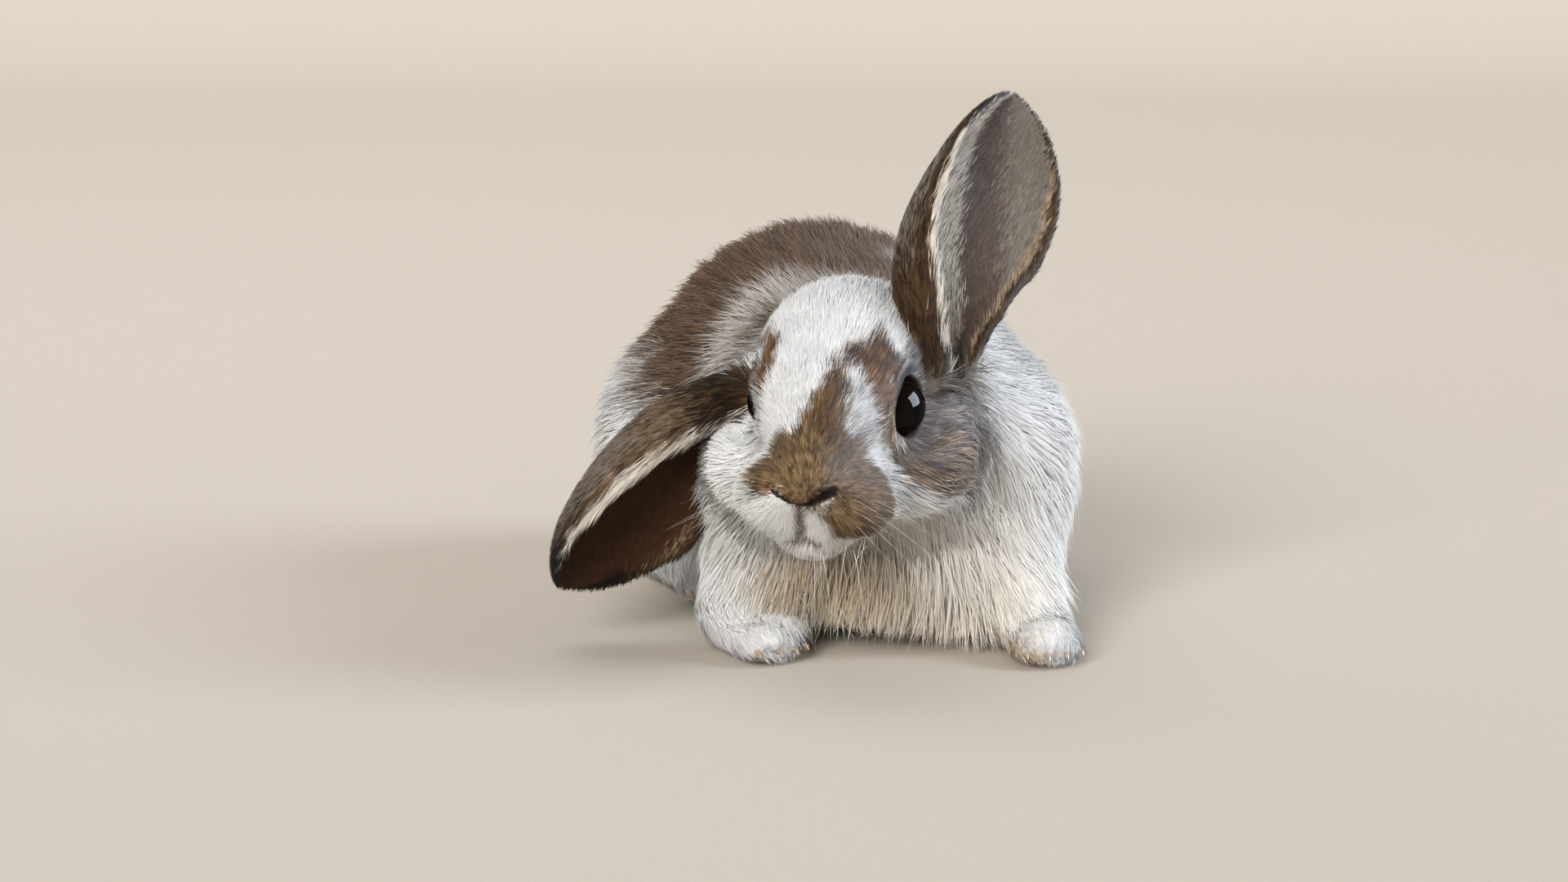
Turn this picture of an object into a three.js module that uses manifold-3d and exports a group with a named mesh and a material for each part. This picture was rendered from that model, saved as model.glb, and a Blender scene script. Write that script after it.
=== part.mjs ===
// A young lop-eared rabbit crouching on all fours, life size: head low and turned a little to its right, left
// ear up, right ear hanging. Millimetres, +Z up, nose towards -Y, so +X is the rabbit's left. Its legs, neck and
// jaw are still. The fleshy pieces are cut from one outline, which runs along the tips of the coat. That outline
// is a set of simple masses melted together, given as a distance function, and each piece is a ball or capsule
// blown out until it meets it.
import * as THREE from "three";
import { mergeVertices } from "three/addons/utils/BufferGeometryUtils.js";
import Module from "manifold-3d";

const wasm = await Module();
wasm.setup();

// Driving dimensions, to the tips of the coat.
const GAP = 0.3; // between pieces that meet
const EYE = { radius: 7.6, columns: 14, rows: 8 };
const EYE_SET = 3.6; // from the middle of the eyeball out to the rim of the lids
const ORBIT = { radius: 9, blend: 6 }; // the hollow of the face round the eye
const EAR = { width: 52, thickness: 2.2, rows: 9, columns: 10 }; // width at its widest, laid flat
// Share of the width at the ear's root, how far along it is widest, and how it closes to the round tip.
const EAR_SPREAD = { root: 0.6, widest: 0.5, closing: 2.2, roundness: 0.6 };
const EAR_FOLD = { root: 0.58, tip: 0.42 }; // the deepest fold's place, as a share from the inner edge
// How far each edge rolls over from the fold, in degrees, and how its roll eases along the ear.
const INNER_ROLL = { root: 200, tip: 85, ease: 1.2 };
const OUTER_ROLL = { root: 130, tip: 20, ease: 0.45 };
const FOREPAW = { length: 27, width: 19, height: 12, toe: 3.2 };
const HIND_FOOT = { length: 60, width: 18, height: 13.5, toe: 3.4 };
const CLAW = { length: 5, radius: 0.9, sides: 6, droop: 18 };
const TAIL_RADII = [12, 12, 17];
const HEAD_MIDDLE = [0, -11, -3]; // in the head's frame, where the head is blown out from
const NECK_MIDDLE = [20, 58, 66];
const SIDES = { left: 1, right: -1 };

const FINISHES = {
  white: { color: 0xe3e1dc, roughness: 0.95 },
  agouti: { color: 0x6b5641, roughness: 0.95 },
  ear: { color: 0x5a4838, roughness: 0.85 },
  eye: { color: 0x120c09, roughness: 0.08 },
  claw: { color: 0xb9a58c, roughness: 0.5 },
};

const radians = THREE.MathUtils.degToRad;
const V = (x, y, z) => new THREE.Vector3(x, y, z);
const eachSide = (make) => Object.entries(SIDES).map(([side, s]) => make(side, s));

// A local frame, in degrees. Positive yaw turns its front (-Y) towards +X, and positive pitch drops it.
function frameAt([x, y, z], yaw = 0, pitch = 0) {
  const frame = new THREE.Object3D();
  frame.position.set(x, y, z);
  frame.rotation.set(radians(pitch), 0, radians(yaw), "ZXY");
  frame.updateMatrixWorld(true);
  return frame;
}
// A frame at a point of another frame, turned as that one is, and then by a yaw and a pitch of its own.
function frameIn(parent, at, yaw = 0, pitch = 0) {
  const turn = new THREE.Euler(radians(pitch), 0, radians(yaw), "ZXY");
  const frame = new THREE.Object3D();
  frame.position.copy(parent.localToWorld(V(...at)));
  frame.quaternion.copy(parent.quaternion).multiply(new THREE.Quaternion().setFromEuler(turn));
  frame.updateMatrixWorld(true);
  return frame;
}

const HEAD = frameAt([13.2, 34.5, 61.5], -14, 13); // between the ears' roots, above the jaw joint
const BODY = frameAt([14, 108, 0], 16); // on the floor below the ribs
const TAIL = frameIn(BODY, [0, 60, 36], 0, 28);
const FOREPAWS = { left: frameAt([59, 44, 0], 14), right: frameAt([-7, 46, 0], 34) };
const HIND_FEET = { left: frameIn(BODY, [35, 22, 0], -10), right: frameIn(BODY, [-36, 22, 0], 6) };

// The masses. An oval has a centre and three radii, and a limb two ends with a radius at each. Blend is the
// width over which a mass melts into those before it.
const oval = (frame, at, radii, blend) => ({ frame, at: V(...at), radii: V(...radii), blend });
const limb = (frame, from, to, radii, blend) => ({ frame, from: V(...from), to: V(...to), radii, blend });

const headMasses = [
  oval(HEAD, [0, 9, 5], [22.5, 23, 21.5], 6), // cranium
  oval(HEAD, [0, -9, 4], [16, 22, 13.5], 6), // forehead
  limb(HEAD, [0, -8, 0], [0, -28, -4], [14, 9], 6), // bridge of the nose
  ...eachSide((side, s) => oval(HEAD, [s * 7.5 - 0.5, -26, -11], [10, 10.5, 9.5], 3)), // whisker pads
  oval(HEAD, [0, -33, -5], [6.5, 5, 5.5], 3), // nose
  oval(HEAD, [-1.5, -23, -19.5], [9, 10, 8], 4), // chin
  oval(HEAD, [0, -4, -16], [17, 19, 10], 6), // jaw
  oval(HEAD, [15.5, 3, -12], [14.5, 18, 13.5], 6), // left cheek
  oval(HEAD, [-17.5, 1, -15.5], [15, 17.5, 14.5], 6), // right cheek, fluffed out below the hanging ear
  ...eachSide((side, s) => oval(HEAD, [s * 12, -6, 9], [7.5, 11, 6], 5)), // brows
];
const bodyMasses = [
  limb(BODY, [0, -42, 62], [0, -28, 55], [24, 32], 12), // nape
  oval(BODY, [0, -38, 37], [35, 28, 35], 12), // chest
  oval(BODY, [1, -56, 17], [31, 17, 16], 10), // breast, down between the forelegs
  ...eachSide((side, s) => oval(BODY, [s * 26, -37, 38], [23, 25, 31], 10)), // shoulders
  oval(BODY, [0, -10, 47], [43, 40, 39], 14), // ribs
  oval(BODY, [0, 22, 48], [43, 42, 43.5], 14), // rump
  oval(BODY, [0, 2, 22], [34, 46, 19], 10), // belly
  ...eachSide((side, s) => oval(BODY, [s * 33, 17, 35], [24, 34, 30], 8)), // haunches
];
const tailMasses = [oval(TAIL, [0, 4, 5], TAIL_RADII, 5)];
const forelegMasses = eachSide((side, s) => {
  const paw = FOREPAWS[side];
  const shoulder = paw.worldToLocal(BODY.localToWorld(V(s * 25, -38, 30)));
  const sole = FOREPAW.height / 2 - 0.5;
  return [
    limb(paw, shoulder.toArray(), [0, 9, 9], [16, 9.5], 7),
    oval(paw, [0, 0, sole], [FOREPAW.width / 2, FOREPAW.length / 2, FOREPAW.height - sole], 4),
    ...toeMasses(paw, FOREPAW),
  ];
}).flat();
const hindFootMasses = eachSide((side) => {
  const reach = HIND_FOOT.length / 2 - 9;
  const radius = HIND_FOOT.height * 0.6;
  return [limb(HIND_FEET[side], [0, reach, 6.5], [0, -reach, 6], [radius, radius * 0.9], 5)].concat(
    toeMasses(HIND_FEET[side], HIND_FOOT),
  );
}).flat();

// Four toes in a shallow arc across the front of a foot, the middle two furthest forward.
function toePlaces({ length, width, toe }) {
  return [-1.5, -0.5, 0.5, 1.5].map((place) => {
    const back = Math.abs(place) > 1 ? 2.5 : 0;
    return V(place * width * 0.23, back + toe * 1.25 - length / 2, toe);
  });
}
function toeMasses(foot, size) {
  const radii = [size.toe, size.toe * 1.8, size.toe * 1.1];
  return toePlaces(size).map((place) => oval(foot, place.toArray(), radii, 1.2));
}

const legMasses = [...forelegMasses, ...hindFootMasses];
const MASSES = [...headMasses, ...bodyMasses, ...tailMasses, ...legMasses].map((mass) => ({
  ...mass,
  toLocal: mass.frame.matrixWorld.clone().invert(),
}));

// Each eye looks out sideways, a little forward and up, from a hollow in the face.
const EYE_AT = V(12.4, -5.5, 2);
const EYE_AXIS = V(0.98, -0.17, 0.1).normalize();
const onSide = (vector, side) => V(vector.x * SIDES[side], vector.y, vector.z);
const ORBITS = eachSide((side) => {
  const middle = EYE_AT.clone().addScaledVector(EYE_AXIS, EYE_SET + ORBIT.radius);
  return HEAD.localToWorld(onSide(middle, side));
});

function massDistance(mass, point) {
  const p = point.clone().applyMatrix4(mass.toLocal);
  if (mass.from) {
    const along = mass.to.clone().sub(mass.from);
    const share = THREE.MathUtils.clamp(p.clone().sub(mass.from).dot(along) / along.lengthSq(), 0, 1);
    const radius = THREE.MathUtils.lerp(...mass.radii, share);
    return p.distanceTo(mass.from.clone().addScaledVector(along, share)) - radius;
  }
  p.sub(mass.at).divide(mass.radii);
  const scaled = p.length();
  const slope = p.divide(mass.radii).length();
  return slope > 0 ? (scaled * (scaled - 1)) / slope : -Math.min(...mass.radii.toArray());
}
// The smaller of two distances, rounded off over the blend width where they are close.
function meltedMin(a, b, blend) {
  const overlap = Math.max(0, 1 - Math.abs(a - b) / blend);
  return Math.min(a, b) - (overlap * overlap * blend) / 4;
}
// Distance from the coat's outline, negative inside.
function coatDistance(point) {
  let distance = 1e3;
  for (const mass of MASSES) distance = meltedMin(distance, massDistance(mass, point), mass.blend);
  for (const orbit of ORBITS) {
    distance = -meltedMin(-distance, point.distanceTo(orbit) - ORBIT.radius, ORBIT.blend);
  }
  return distance;
}

function solidOf(geometry) {
  const merged = mergeVertices(geometry.clone().deleteAttribute("normal").deleteAttribute("uv"), 1e-3);
  const triangles = [];
  const index = merged.index.array;
  for (let i = 0; i < index.length; i += 3) {
    const [a, b, c] = index.subarray(i, i + 3);
    if (a !== b && b !== c && c !== a) triangles.push(a, b, c); // merging flattens those at a pole
  }
  const vertProperties = merged.attributes.position.array;
  const triVerts = new Uint32Array(triangles);
  return new wasm.Manifold(new wasm.Mesh({ numProp: 3, vertProperties, triVerts }));
}

const root = new THREE.Group();
// Each piece's geometry is kept in the frame it grows from.
function addPiece(name, solid, frame, finish) {
  const { vertProperties, triVerts } = solid.getMesh();
  const geometry = new THREE.BufferGeometry();
  geometry.setAttribute("position", new THREE.BufferAttribute(vertProperties, 3));
  geometry.setIndex(new THREE.BufferAttribute(triVerts, 1));
  geometry.applyMatrix4(frame.matrixWorld.clone().invert());
  const material = new THREE.MeshStandardMaterial({ ...FINISHES[finish], metalness: 0 });
  const mesh = new THREE.Mesh(geometry, material);
  mesh.name = name;
  mesh.position.copy(frame.position);
  mesh.quaternion.copy(frame.quaternion);
  root.add(mesh);
}

const FAR = 400; // past the whole animal, from anywhere in it

// A region is one form in a frame, with its solid, the same grown by the gap, and how far a point is outside it.
// Pieces are kept inside their own region and out of the grown ones of their neighbours.
function region(frame, geometry, outside) {
  geometry.computeBoundingBox();
  const size = geometry.boundingBox.getSize(V(0, 0, 0));
  const middle = geometry.boundingBox.getCenter(V(0, 0, 0));
  const shape = (grow) => {
    const scale = size.clone().addScalar(2 * grow).divide(size);
    const grown = geometry.clone().translate(-middle.x, -middle.y, -middle.z).scale(...scale.toArray());
    return solidOf(grown.translate(...middle.toArray()).applyMatrix4(frame.matrixWorld));
  };
  const outsideOf = (point) => outside(frame.worldToLocal(point.clone()));
  return { inner: shape(0), outer: shape(GAP), outside: outsideOf };
}
// A wall is all that lies behind a frame's origin (towards its +Y), or all before it.
function wall(frame, direction) {
  return { ...boxRegion(frame, [FAR, FAR, FAR], [0, (direction * FAR) / 2, 0]), isWall: true };
}
function boxRegion(frame, size, at) {
  return region(frame, new THREE.BoxGeometry(...size).translate(...at), (p) => {
    p.sub(V(...at));
    return Math.max(Math.abs(p.x) - size[0] / 2, Math.abs(p.y) - size[1] / 2, Math.abs(p.z) - size[2] / 2);
  });
}
// An oval slab, standing square to X, that marks a haunch or the tail off from the trunk.
function slabRegion(frame, [thickness, length, height], [x, y, z], sides) {
  const geometry = new THREE.CylinderGeometry(1, 1, thickness, sides).rotateZ(Math.PI / 2);
  geometry.scale(1, length / 2, height / 2).translate(x, y, z);
  return region(frame, geometry, (p) => {
    const radial = Math.hypot((p.y - y) / (length / 2), (p.z - z) / (height / 2)) - 1;
    return Math.max(Math.abs(p.x - x) - thickness / 2, (radial * Math.min(length, height)) / 2);
  });
}

const bySide = (make) => Object.fromEntries(eachSide((side, s) => [side, make(side, s)]));
const ground = wall(frameAt([0, 0, 0], 0, -90), 1);
const neckRoot = frameAt([22, 67, 63], 15, -40);
const nape = frameIn(HEAD, [0, 22, 0]);
const behindNeck = wall(neckRoot, 1);
const beforeBody = wall(neckRoot, -1);
const beforeNape = wall(nape, -1);
const tailRegion = slabRegion(frameIn(TAIL, [0, 0, 0], 90), [30, 25, 40], [11, 0, 5], 16);
const thighRegions = bySide((side, s) => slabRegion(BODY, [60, 80, 65], [s * 57, 16, 36], 26));
const footRegions = bySide((side) => boxRegion(HIND_FEET[side], [22, 70, 33], [0, 0, 0]));
const pawRegions = bySide((side) => boxRegion(FOREPAWS[side], [24, 36, 26], [0, -2, 0]));
const legRegions = bySide((side, s) => boxRegion(FOREPAWS[side], [26, 34, 48], [s * 1.5, 17, 0]));

// A closed form blown out. Each vertex goes from the nearest point of the form's own axis, through its place on
// the form, until it meets the outline (held off by outset) or is well past the region it must stay in, or a
// wall it must not pass. Cutting it at the regions' faces then leaves clean edges.
const PAST_FACE = 7;
const NEAR = 0.01;
const CAUTION = 0.7; // the melted distance can run a little long
function blownOut(form, place, halfAxis, { within = [], clearOf = [] }, outset = 0) {
  const walls = [...clearOf, ground].filter((r) => r.isWall);
  const outside = (p) => {
    const past = within.map((r) => r.outside(p)).concat(walls.map((r) => -r.outside(p)));
    return Math.max(coatDistance(p) - outset, ...past.map((distance) => distance - PAST_FACE));
  };
  const geometry = form.clone();
  const points = geometry.getAttribute("position");
  for (let i = 0; i < points.count; i++) {
    const local = new THREE.Vector3().fromBufferAttribute(points, i);
    const start = place.localToWorld(V(0, THREE.MathUtils.clamp(local.y, -halfAxis, halfAxis), 0));
    const along = place.localToWorld(local).sub(start).normalize();
    let left = -outside(start);
    if (left < 0) throw new Error("a blown form starts outside the animal");
    while (left > NEAR) {
      start.addScaledVector(along, left * CAUTION);
      left = -outside(start);
    }
    points.setXYZ(i, ...start.toArray());
  }
  let solid = solidOf(geometry);
  for (const r of within) solid = solid.intersect(r.inner);
  for (const r of [...clearOf, ground]) solid = solid.subtract(r === ground ? r.inner : r.outer);
  return solid;
}
const FORM_RADIUS = 5;
const ball = (detail) => new THREE.IcosahedronGeometry(FORM_RADIUS, detail);
const capsule = (halfAxis, caps, around, along) =>
  new THREE.CapsuleGeometry(FORM_RADIUS, halfAxis * 2, caps, around, along);

function addTrunk() {
  const spine = frameIn(BODY, [0, -4, 46]);
  const limbs = [thighRegions, footRegions, pawRegions, legRegions].flatMap(Object.values);
  const clearOf = [beforeBody, tailRegion, ...limbs];
  const trunk = blownOut(capsule(26, 7, 22, 7), spine, 26, { clearOf });
  addPiece("trunk", trunk, BODY, "agouti");
  return trunk;
}

function addNeck() {
  const middle = frameAt(NECK_MIDDLE);
  const neck = blownOut(ball(4), middle, 0, { within: [beforeBody], clearOf: [beforeNape] });
  addPiece("neck", neck, middle, "white");
}

// The eyeballs sit in sockets in the head.
function addHead() {
  const middle = frameIn(HEAD, HEAD_MIDDLE);
  const limits = { within: [beforeNape], clearOf: [behindNeck] };
  let head = blownOut(ball(8), middle, 0, limits);
  for (const side of Object.keys(SIDES)) {
    const at = frameAt(HEAD.localToWorld(onSide(EYE_AT, side)).toArray());
    const eyeball = (radius) => {
      const globe = new THREE.SphereGeometry(radius, EYE.columns, EYE.rows);
      return solidOf(globe.applyMatrix4(at.matrixWorld));
    };
    head = head.subtract(eyeball(EYE.radius + GAP));
    addPiece("eye_" + side, eyeball(EYE.radius), at, "eye");
  }
  addPiece("head", head, HEAD, "white");
}

// An ear is a sheet folded lengthwise. Its route, in the head's frame, is the deepest line of the fold, from
// inside the skull to the tip, and facing is where the hollow looks. From the fold each half rolls over in an arc
// of its own: the inner edge nearly into a tube, the outer edge less. The root closes and the tip lies open.
const EARS = {
  left: {
    route: [[17, 12, 0], [14.5, 15, 14], [14.8, 23.5, 28], [22.5, 34, 43.5], [33.3, 42, 60]],
    facing: [0.6, -0.7, 0.4],
  },
  right: {
    route: [[-19, 14, 2], [-38.5, 12, -6.5], [-51, 6, -15.5], [-62.5, 0, -31.3], [-68.5, -5, -47.8]],
    facing: [0.64, -0.77, 0],
  },
};
const between = ({ root, tip, ease = 1 }, share) => THREE.MathUtils.lerp(root, tip, Math.pow(share, ease));
function earWidth(share) {
  const { root, widest, closing, roundness } = EAR_SPREAD;
  const opened = root + (1 - root) * Math.sin((Math.PI / 2) * Math.min(1, share / widest));
  const closed = Math.pow(Math.max(0, (share - widest) / (1 - widest)), closing);
  return EAR.width * opened * Math.pow(1 - closed, roundness);
}
// A point of the sheet. Across runs from -1 at the inner edge over 0 in the fold to 1 at the outer edge.
function earPoint(curve, { facing, outward }, share, across, isInside) {
  const along = curve.getTangent(share);
  const aside = along.clone().cross(facing).normalize();
  const open = aside.clone().cross(along);
  const fold = between(EAR_FOLD, share);
  const roll = radians(between(across < 0 ? INNER_ROLL : OUTER_ROLL, share));
  const radius = (earWidth(share) * (across < 0 ? fold : 1 - fold)) / roll;
  const thickness = Math.min(EAR.thickness * (1.1 - 0.5 * share), radius * 0.6);
  const arm = isInside ? radius - thickness : radius;
  const point = curve.getPoint(share).addScaledVector(aside, outward * Math.sin(across * roll) * arm);
  return HEAD.localToWorld(point.addScaledVector(open, radius - Math.cos(across * roll) * arm));
}
function earSolid({ route, facing }, side) {
  const curve = new THREE.CatmullRomCurve3(route.map((p) => V(...p)));
  const sense = { facing: V(...facing).normalize(), outward: SIDES[side] };
  const at = (row, column, isInside) => {
    const share = Math.sin((Math.PI / 2) * (row / EAR.rows)); // rows crowd towards the round tip
    return earPoint(curve, sense, share, (2 * column) / EAR.columns - 1, isInside);
  };
  const corners = [];
  const quad = (...points) => {
    const [a, b, c, d] = sense.outward > 0 ? points : points.reverse(); // mirrored faces run the other way
    corners.push(a, c, b, a, d, c);
  };
  for (let row = 0; row < EAR.rows; row++) {
    const next = row + 1;
    for (let column = 0; column < EAR.columns; column++) {
      const beside = column + 1;
      const round = [[row, beside], [next, beside], [next, column]];
      quad(at(row, column, false), ...round.map((place) => at(...place, false)));
      quad(at(row, column, true), ...round.reverse().map((place) => at(...place, true)));
    }
    quad(at(row, 0, false), at(next, 0, false), at(next, 0, true), at(row, 0, true));
    const last = EAR.columns;
    quad(at(row, last, false), at(row, last, true), at(next, last, true), at(next, last, false));
  }
  for (let column = 0; column < EAR.columns; column++) {
    quad(at(0, column, false), at(0, column, true), at(0, column + 1, true), at(0, column + 1, false));
  }
  return solidOf(new THREE.BufferGeometry().setFromPoints(corners));
}
function addEars(trunk) {
  const skull = blownOut(ball(8), frameIn(HEAD, HEAD_MIDDLE), 0, { within: [beforeNape] }, GAP);
  const nearNeck = blownOut(ball(5), frameAt(NECK_MIDDLE), 0, { within: [beforeBody] }, GAP);
  for (const side of Object.keys(SIDES)) {
    const ear = earSolid(EARS[side], side).subtract(skull).subtract(nearNeck).subtract(trunk);
    addPiece("ear_" + side, ear, HEAD, "ear");
  }
}

function addClaws(foot, name, size, solidFoot) {
  toePlaces(size).forEach((place, i) => {
    const cone = new THREE.ConeGeometry(CLAW.radius, CLAW.length, CLAW.sides);
    cone.translate(0, CLAW.length / 2, 0).rotateX(Math.PI + radians(CLAW.droop));
    cone.translate(place.x, place.y - size.toe * 1.5, size.toe);
    const claw = solidOf(cone.applyMatrix4(foot.matrixWorld)).subtract(solidFoot);
    addPiece(`claw_${name}_${i + 1}`, claw, foot, "claw");
  });
}

function addForeleg(side) {
  const paw = FOREPAWS[side];
  const legLimits = { within: [legRegions[side]], clearOf: [pawRegions[side]] };
  addPiece("foreleg_" + side, blownOut(ball(4), frameIn(paw, [0, 16, 13]), 0, legLimits), paw, "white");
  const place = frameIn(paw, [0, -1, 5]);
  const pawLimits = { within: [pawRegions[side]] };
  addPiece("forepaw_" + side, blownOut(ball(5), place, 0, pawLimits), paw, "white");
  addClaws(paw, "forepaw_" + side, FOREPAW, blownOut(ball(5), place, 0, pawLimits, GAP));
}

function addHindLeg(side, s) {
  const clearOf = [footRegions[side], legRegions[side], tailRegion];
  const limits = { within: [thighRegions[side]], clearOf };
  addPiece("thigh_" + side, blownOut(ball(5), frameIn(BODY, [s * 38, 18, 36]), 0, limits), BODY, "agouti");
  const foot = HIND_FEET[side];
  const place = frameIn(foot, [0, -1, 6]);
  const form = capsule(21, 4, 12, 7);
  const within = [footRegions[side]];
  addPiece("hind_foot_" + side, blownOut(form, place, 21, { within }), foot, "white");
  addClaws(foot, "hind_foot_" + side, HIND_FOOT, blownOut(form, place, 21, { within }, GAP));
}

function addTail() {
  const middle = frameIn(TAIL, [0, 4, 5]);
  addPiece("tail", blownOut(ball(2), middle, 0, { within: [tailRegion] }), TAIL, "agouti");
}

const trunkSolid = addTrunk();
addNeck();
addHead();
addEars(trunkSolid);
eachSide(addForeleg);
eachSide(addHindLeg);
addTail();

// The origin is on the floor, below the middle of the animal.
root.updateMatrixWorld(true);
const bounds = new THREE.Box3().setFromObject(root, true);
root.position.set(-(bounds.min.x + bounds.max.x) / 2, -(bounds.min.y + bounds.max.y) / 2, -bounds.min.z);

export default root;
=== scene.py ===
"""A young lop-eared rabbit crouching on all fours, life size: one skin under a coat of tufts, with eyes, claws and
whiskers of its own. Every length in the tables is in millimetres; meshes are made in metres at the end."""
import math

import bpy
import numpy as np
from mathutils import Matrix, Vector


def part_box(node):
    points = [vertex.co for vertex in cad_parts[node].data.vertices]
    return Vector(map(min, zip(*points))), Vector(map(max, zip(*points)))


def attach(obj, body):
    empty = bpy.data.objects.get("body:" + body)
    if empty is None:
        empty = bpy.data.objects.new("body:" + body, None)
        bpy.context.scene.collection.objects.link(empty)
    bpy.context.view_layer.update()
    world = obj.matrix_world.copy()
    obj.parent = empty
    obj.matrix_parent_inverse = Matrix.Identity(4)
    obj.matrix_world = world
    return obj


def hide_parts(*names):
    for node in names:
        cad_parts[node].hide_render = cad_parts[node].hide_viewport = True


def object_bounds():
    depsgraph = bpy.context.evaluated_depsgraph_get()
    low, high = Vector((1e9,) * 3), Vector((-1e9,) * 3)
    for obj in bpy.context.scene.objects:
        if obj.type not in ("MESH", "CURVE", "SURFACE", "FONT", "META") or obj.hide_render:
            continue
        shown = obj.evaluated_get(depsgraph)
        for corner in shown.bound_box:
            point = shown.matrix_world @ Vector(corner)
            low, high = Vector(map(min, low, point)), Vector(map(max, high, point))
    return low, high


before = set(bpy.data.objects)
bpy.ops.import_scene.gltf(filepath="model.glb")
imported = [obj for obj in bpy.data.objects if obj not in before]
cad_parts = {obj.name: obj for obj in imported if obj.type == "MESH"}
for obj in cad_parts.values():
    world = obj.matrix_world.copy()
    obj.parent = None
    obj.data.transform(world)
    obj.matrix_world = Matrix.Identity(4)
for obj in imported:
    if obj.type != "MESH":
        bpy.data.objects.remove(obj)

import openvdb
from mathutils import Vector, kdtree

MM = 0.001
CAD_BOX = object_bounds()
rng = np.random.default_rng(7)


def radians(degrees):
    return degrees * math.pi / 180


def unit(v):
    v = np.asarray(v, float)
    return v / np.maximum(np.linalg.norm(v, axis=-1, keepdims=True), 1e-9)


def ramp(x, low, high):
    """0 below low, 1 above high, and smooth between them. Low may be the larger."""
    t = np.clip((x - low) / (high - low), 0, 1)
    return t * t * (3 - 2 * t)


def mix(a, b, share):
    """The way from a to b, by a share of it."""
    return a + (b - a) * share


# ------------------------------------------------------------
# Frames of the parts. Each one's -Y is its front. A positive yaw turns the front towards the rabbit's left.


class Frame:
    """A place and a turn, by which world() carries a part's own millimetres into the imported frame."""

    def __init__(self, at, yaw=0.0, pitch=0.0, parent=None):
        y, p = radians(yaw), radians(pitch)
        about_z = np.array([[math.cos(y), -math.sin(y), 0], [math.sin(y), math.cos(y), 0], [0, 0, 1]])
        about_x = np.array([[1, 0, 0], [0, math.cos(p), -math.sin(p)], [0, math.sin(p), math.cos(p)]])
        turn = about_z @ about_x
        self.turn = parent.turn @ turn if parent else turn
        self.at = parent.world(at) if parent else np.array(at, float)

    def world(self, points):
        return np.asarray(points, float) @ self.turn.T + self.at

    def local(self, points):
        points = np.asarray(points)
        return (points - self.at.astype(points.dtype)) @ self.turn.astype(points.dtype)

    def aim(self, directions):
        return np.asarray(directions, float) @ self.turn.T


SIDES = {"left": 1, "right": -1}
EYE_AT = np.array([12.4, -5.5, 2.0])  # in the head's frame, for the left eye
EYE_AXIS = unit([0.98, -0.17, 0.1])
EYE_RADIUS = 7.6


def on_side(v, side):
    """A vector that is given for the left, on either side."""
    return np.array(v, float) * [SIDES[side], 1, 1]


# The head is found from the left eye's solid. The rest was drawn about the head, and moves with it.
eye_low, eye_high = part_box("eye_left")
HEAD = Frame((0, 0, 0), -14, 13)
HEAD.at = (np.array(eye_low) + np.array(eye_high)) / 2 / MM - HEAD.aim(EYE_AT)
DRAWN_HEAD = np.array([13.2, 34.5, 61.5])
MOVED = HEAD.at - DRAWN_HEAD
BODY = Frame(MOVED + [14, 108, 0], 16)
TAIL = Frame((0, 60, 36), 0, 28, BODY)
FOREPAWS = {"left": Frame(MOVED + [59, 44, 0], 14), "right": Frame(MOVED + [-7, 46, 0], 34)}
HIND_FEET = {"left": Frame((35, 22, 0), -10, 0, BODY), "right": Frame((-36, 22, 0), 6, 0, BODY)}

# ------------------------------------------------------------
# Camera: level with the animal's back and about a metre off, with a portrait lens.

STAGE_LOOK = MOVED + [0, 0, 59.4]
CAMERA = {"distance": 950, "elevation": 11, "lens": 99.75, "sensor": 36}


def add_camera():
    """The camera, straight in front of the stage and a little above it."""
    data = bpy.data.cameras.new("camera")
    data.lens, data.sensor_width = CAMERA["lens"], CAMERA["sensor"]
    camera = bpy.data.objects.new("camera", data)
    rise = radians(CAMERA["elevation"])
    back = np.array([0, -math.cos(rise), math.sin(rise)])
    camera.location = (STAGE_LOOK + back * CAMERA["distance"]) * MM
    camera.rotation_euler = (math.pi / 2 - rise, 0, 0)
    bpy.context.scene.collection.objects.link(camera)
    bpy.context.scene.camera = camera


add_camera()

# ------------------------------------------------------------
# Ears. Each is a sheet folded lengthwise along a route in the head's frame. Across runs from -1 at the inner edge
# over 0 in the fold to 1 at the outer edge.

EARS = {
    "left": {
        "route": [(17, 12, 0), (14.5, 15, 14), (14.8, 23.5, 28), (22.5, 34, 43.5), (33.3, 42, 60)],
        "facing": (0.6, -0.7, 0.4),
    },
    "right": {
        "route": [(-19, 14, 2), (-38.5, 12, -6.5), (-51, 6, -15.5), (-62.5, 0, -31.3), (-68.5, -5, -47.8)],
        "facing": (0.64, -0.77, 0),
    },
}
EAR_WIDTH, EAR_THICKNESS = 52, 1.7
EAR_ROWS, EAR_COLUMNS = 90, 72
# Degrees that each half of the sheet rolls through at the base and at the tip, and how late it opens.
INNER_ROLL, OUTER_ROLL = (200, 85, 1.2), (130, 20, 0.45)


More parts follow.
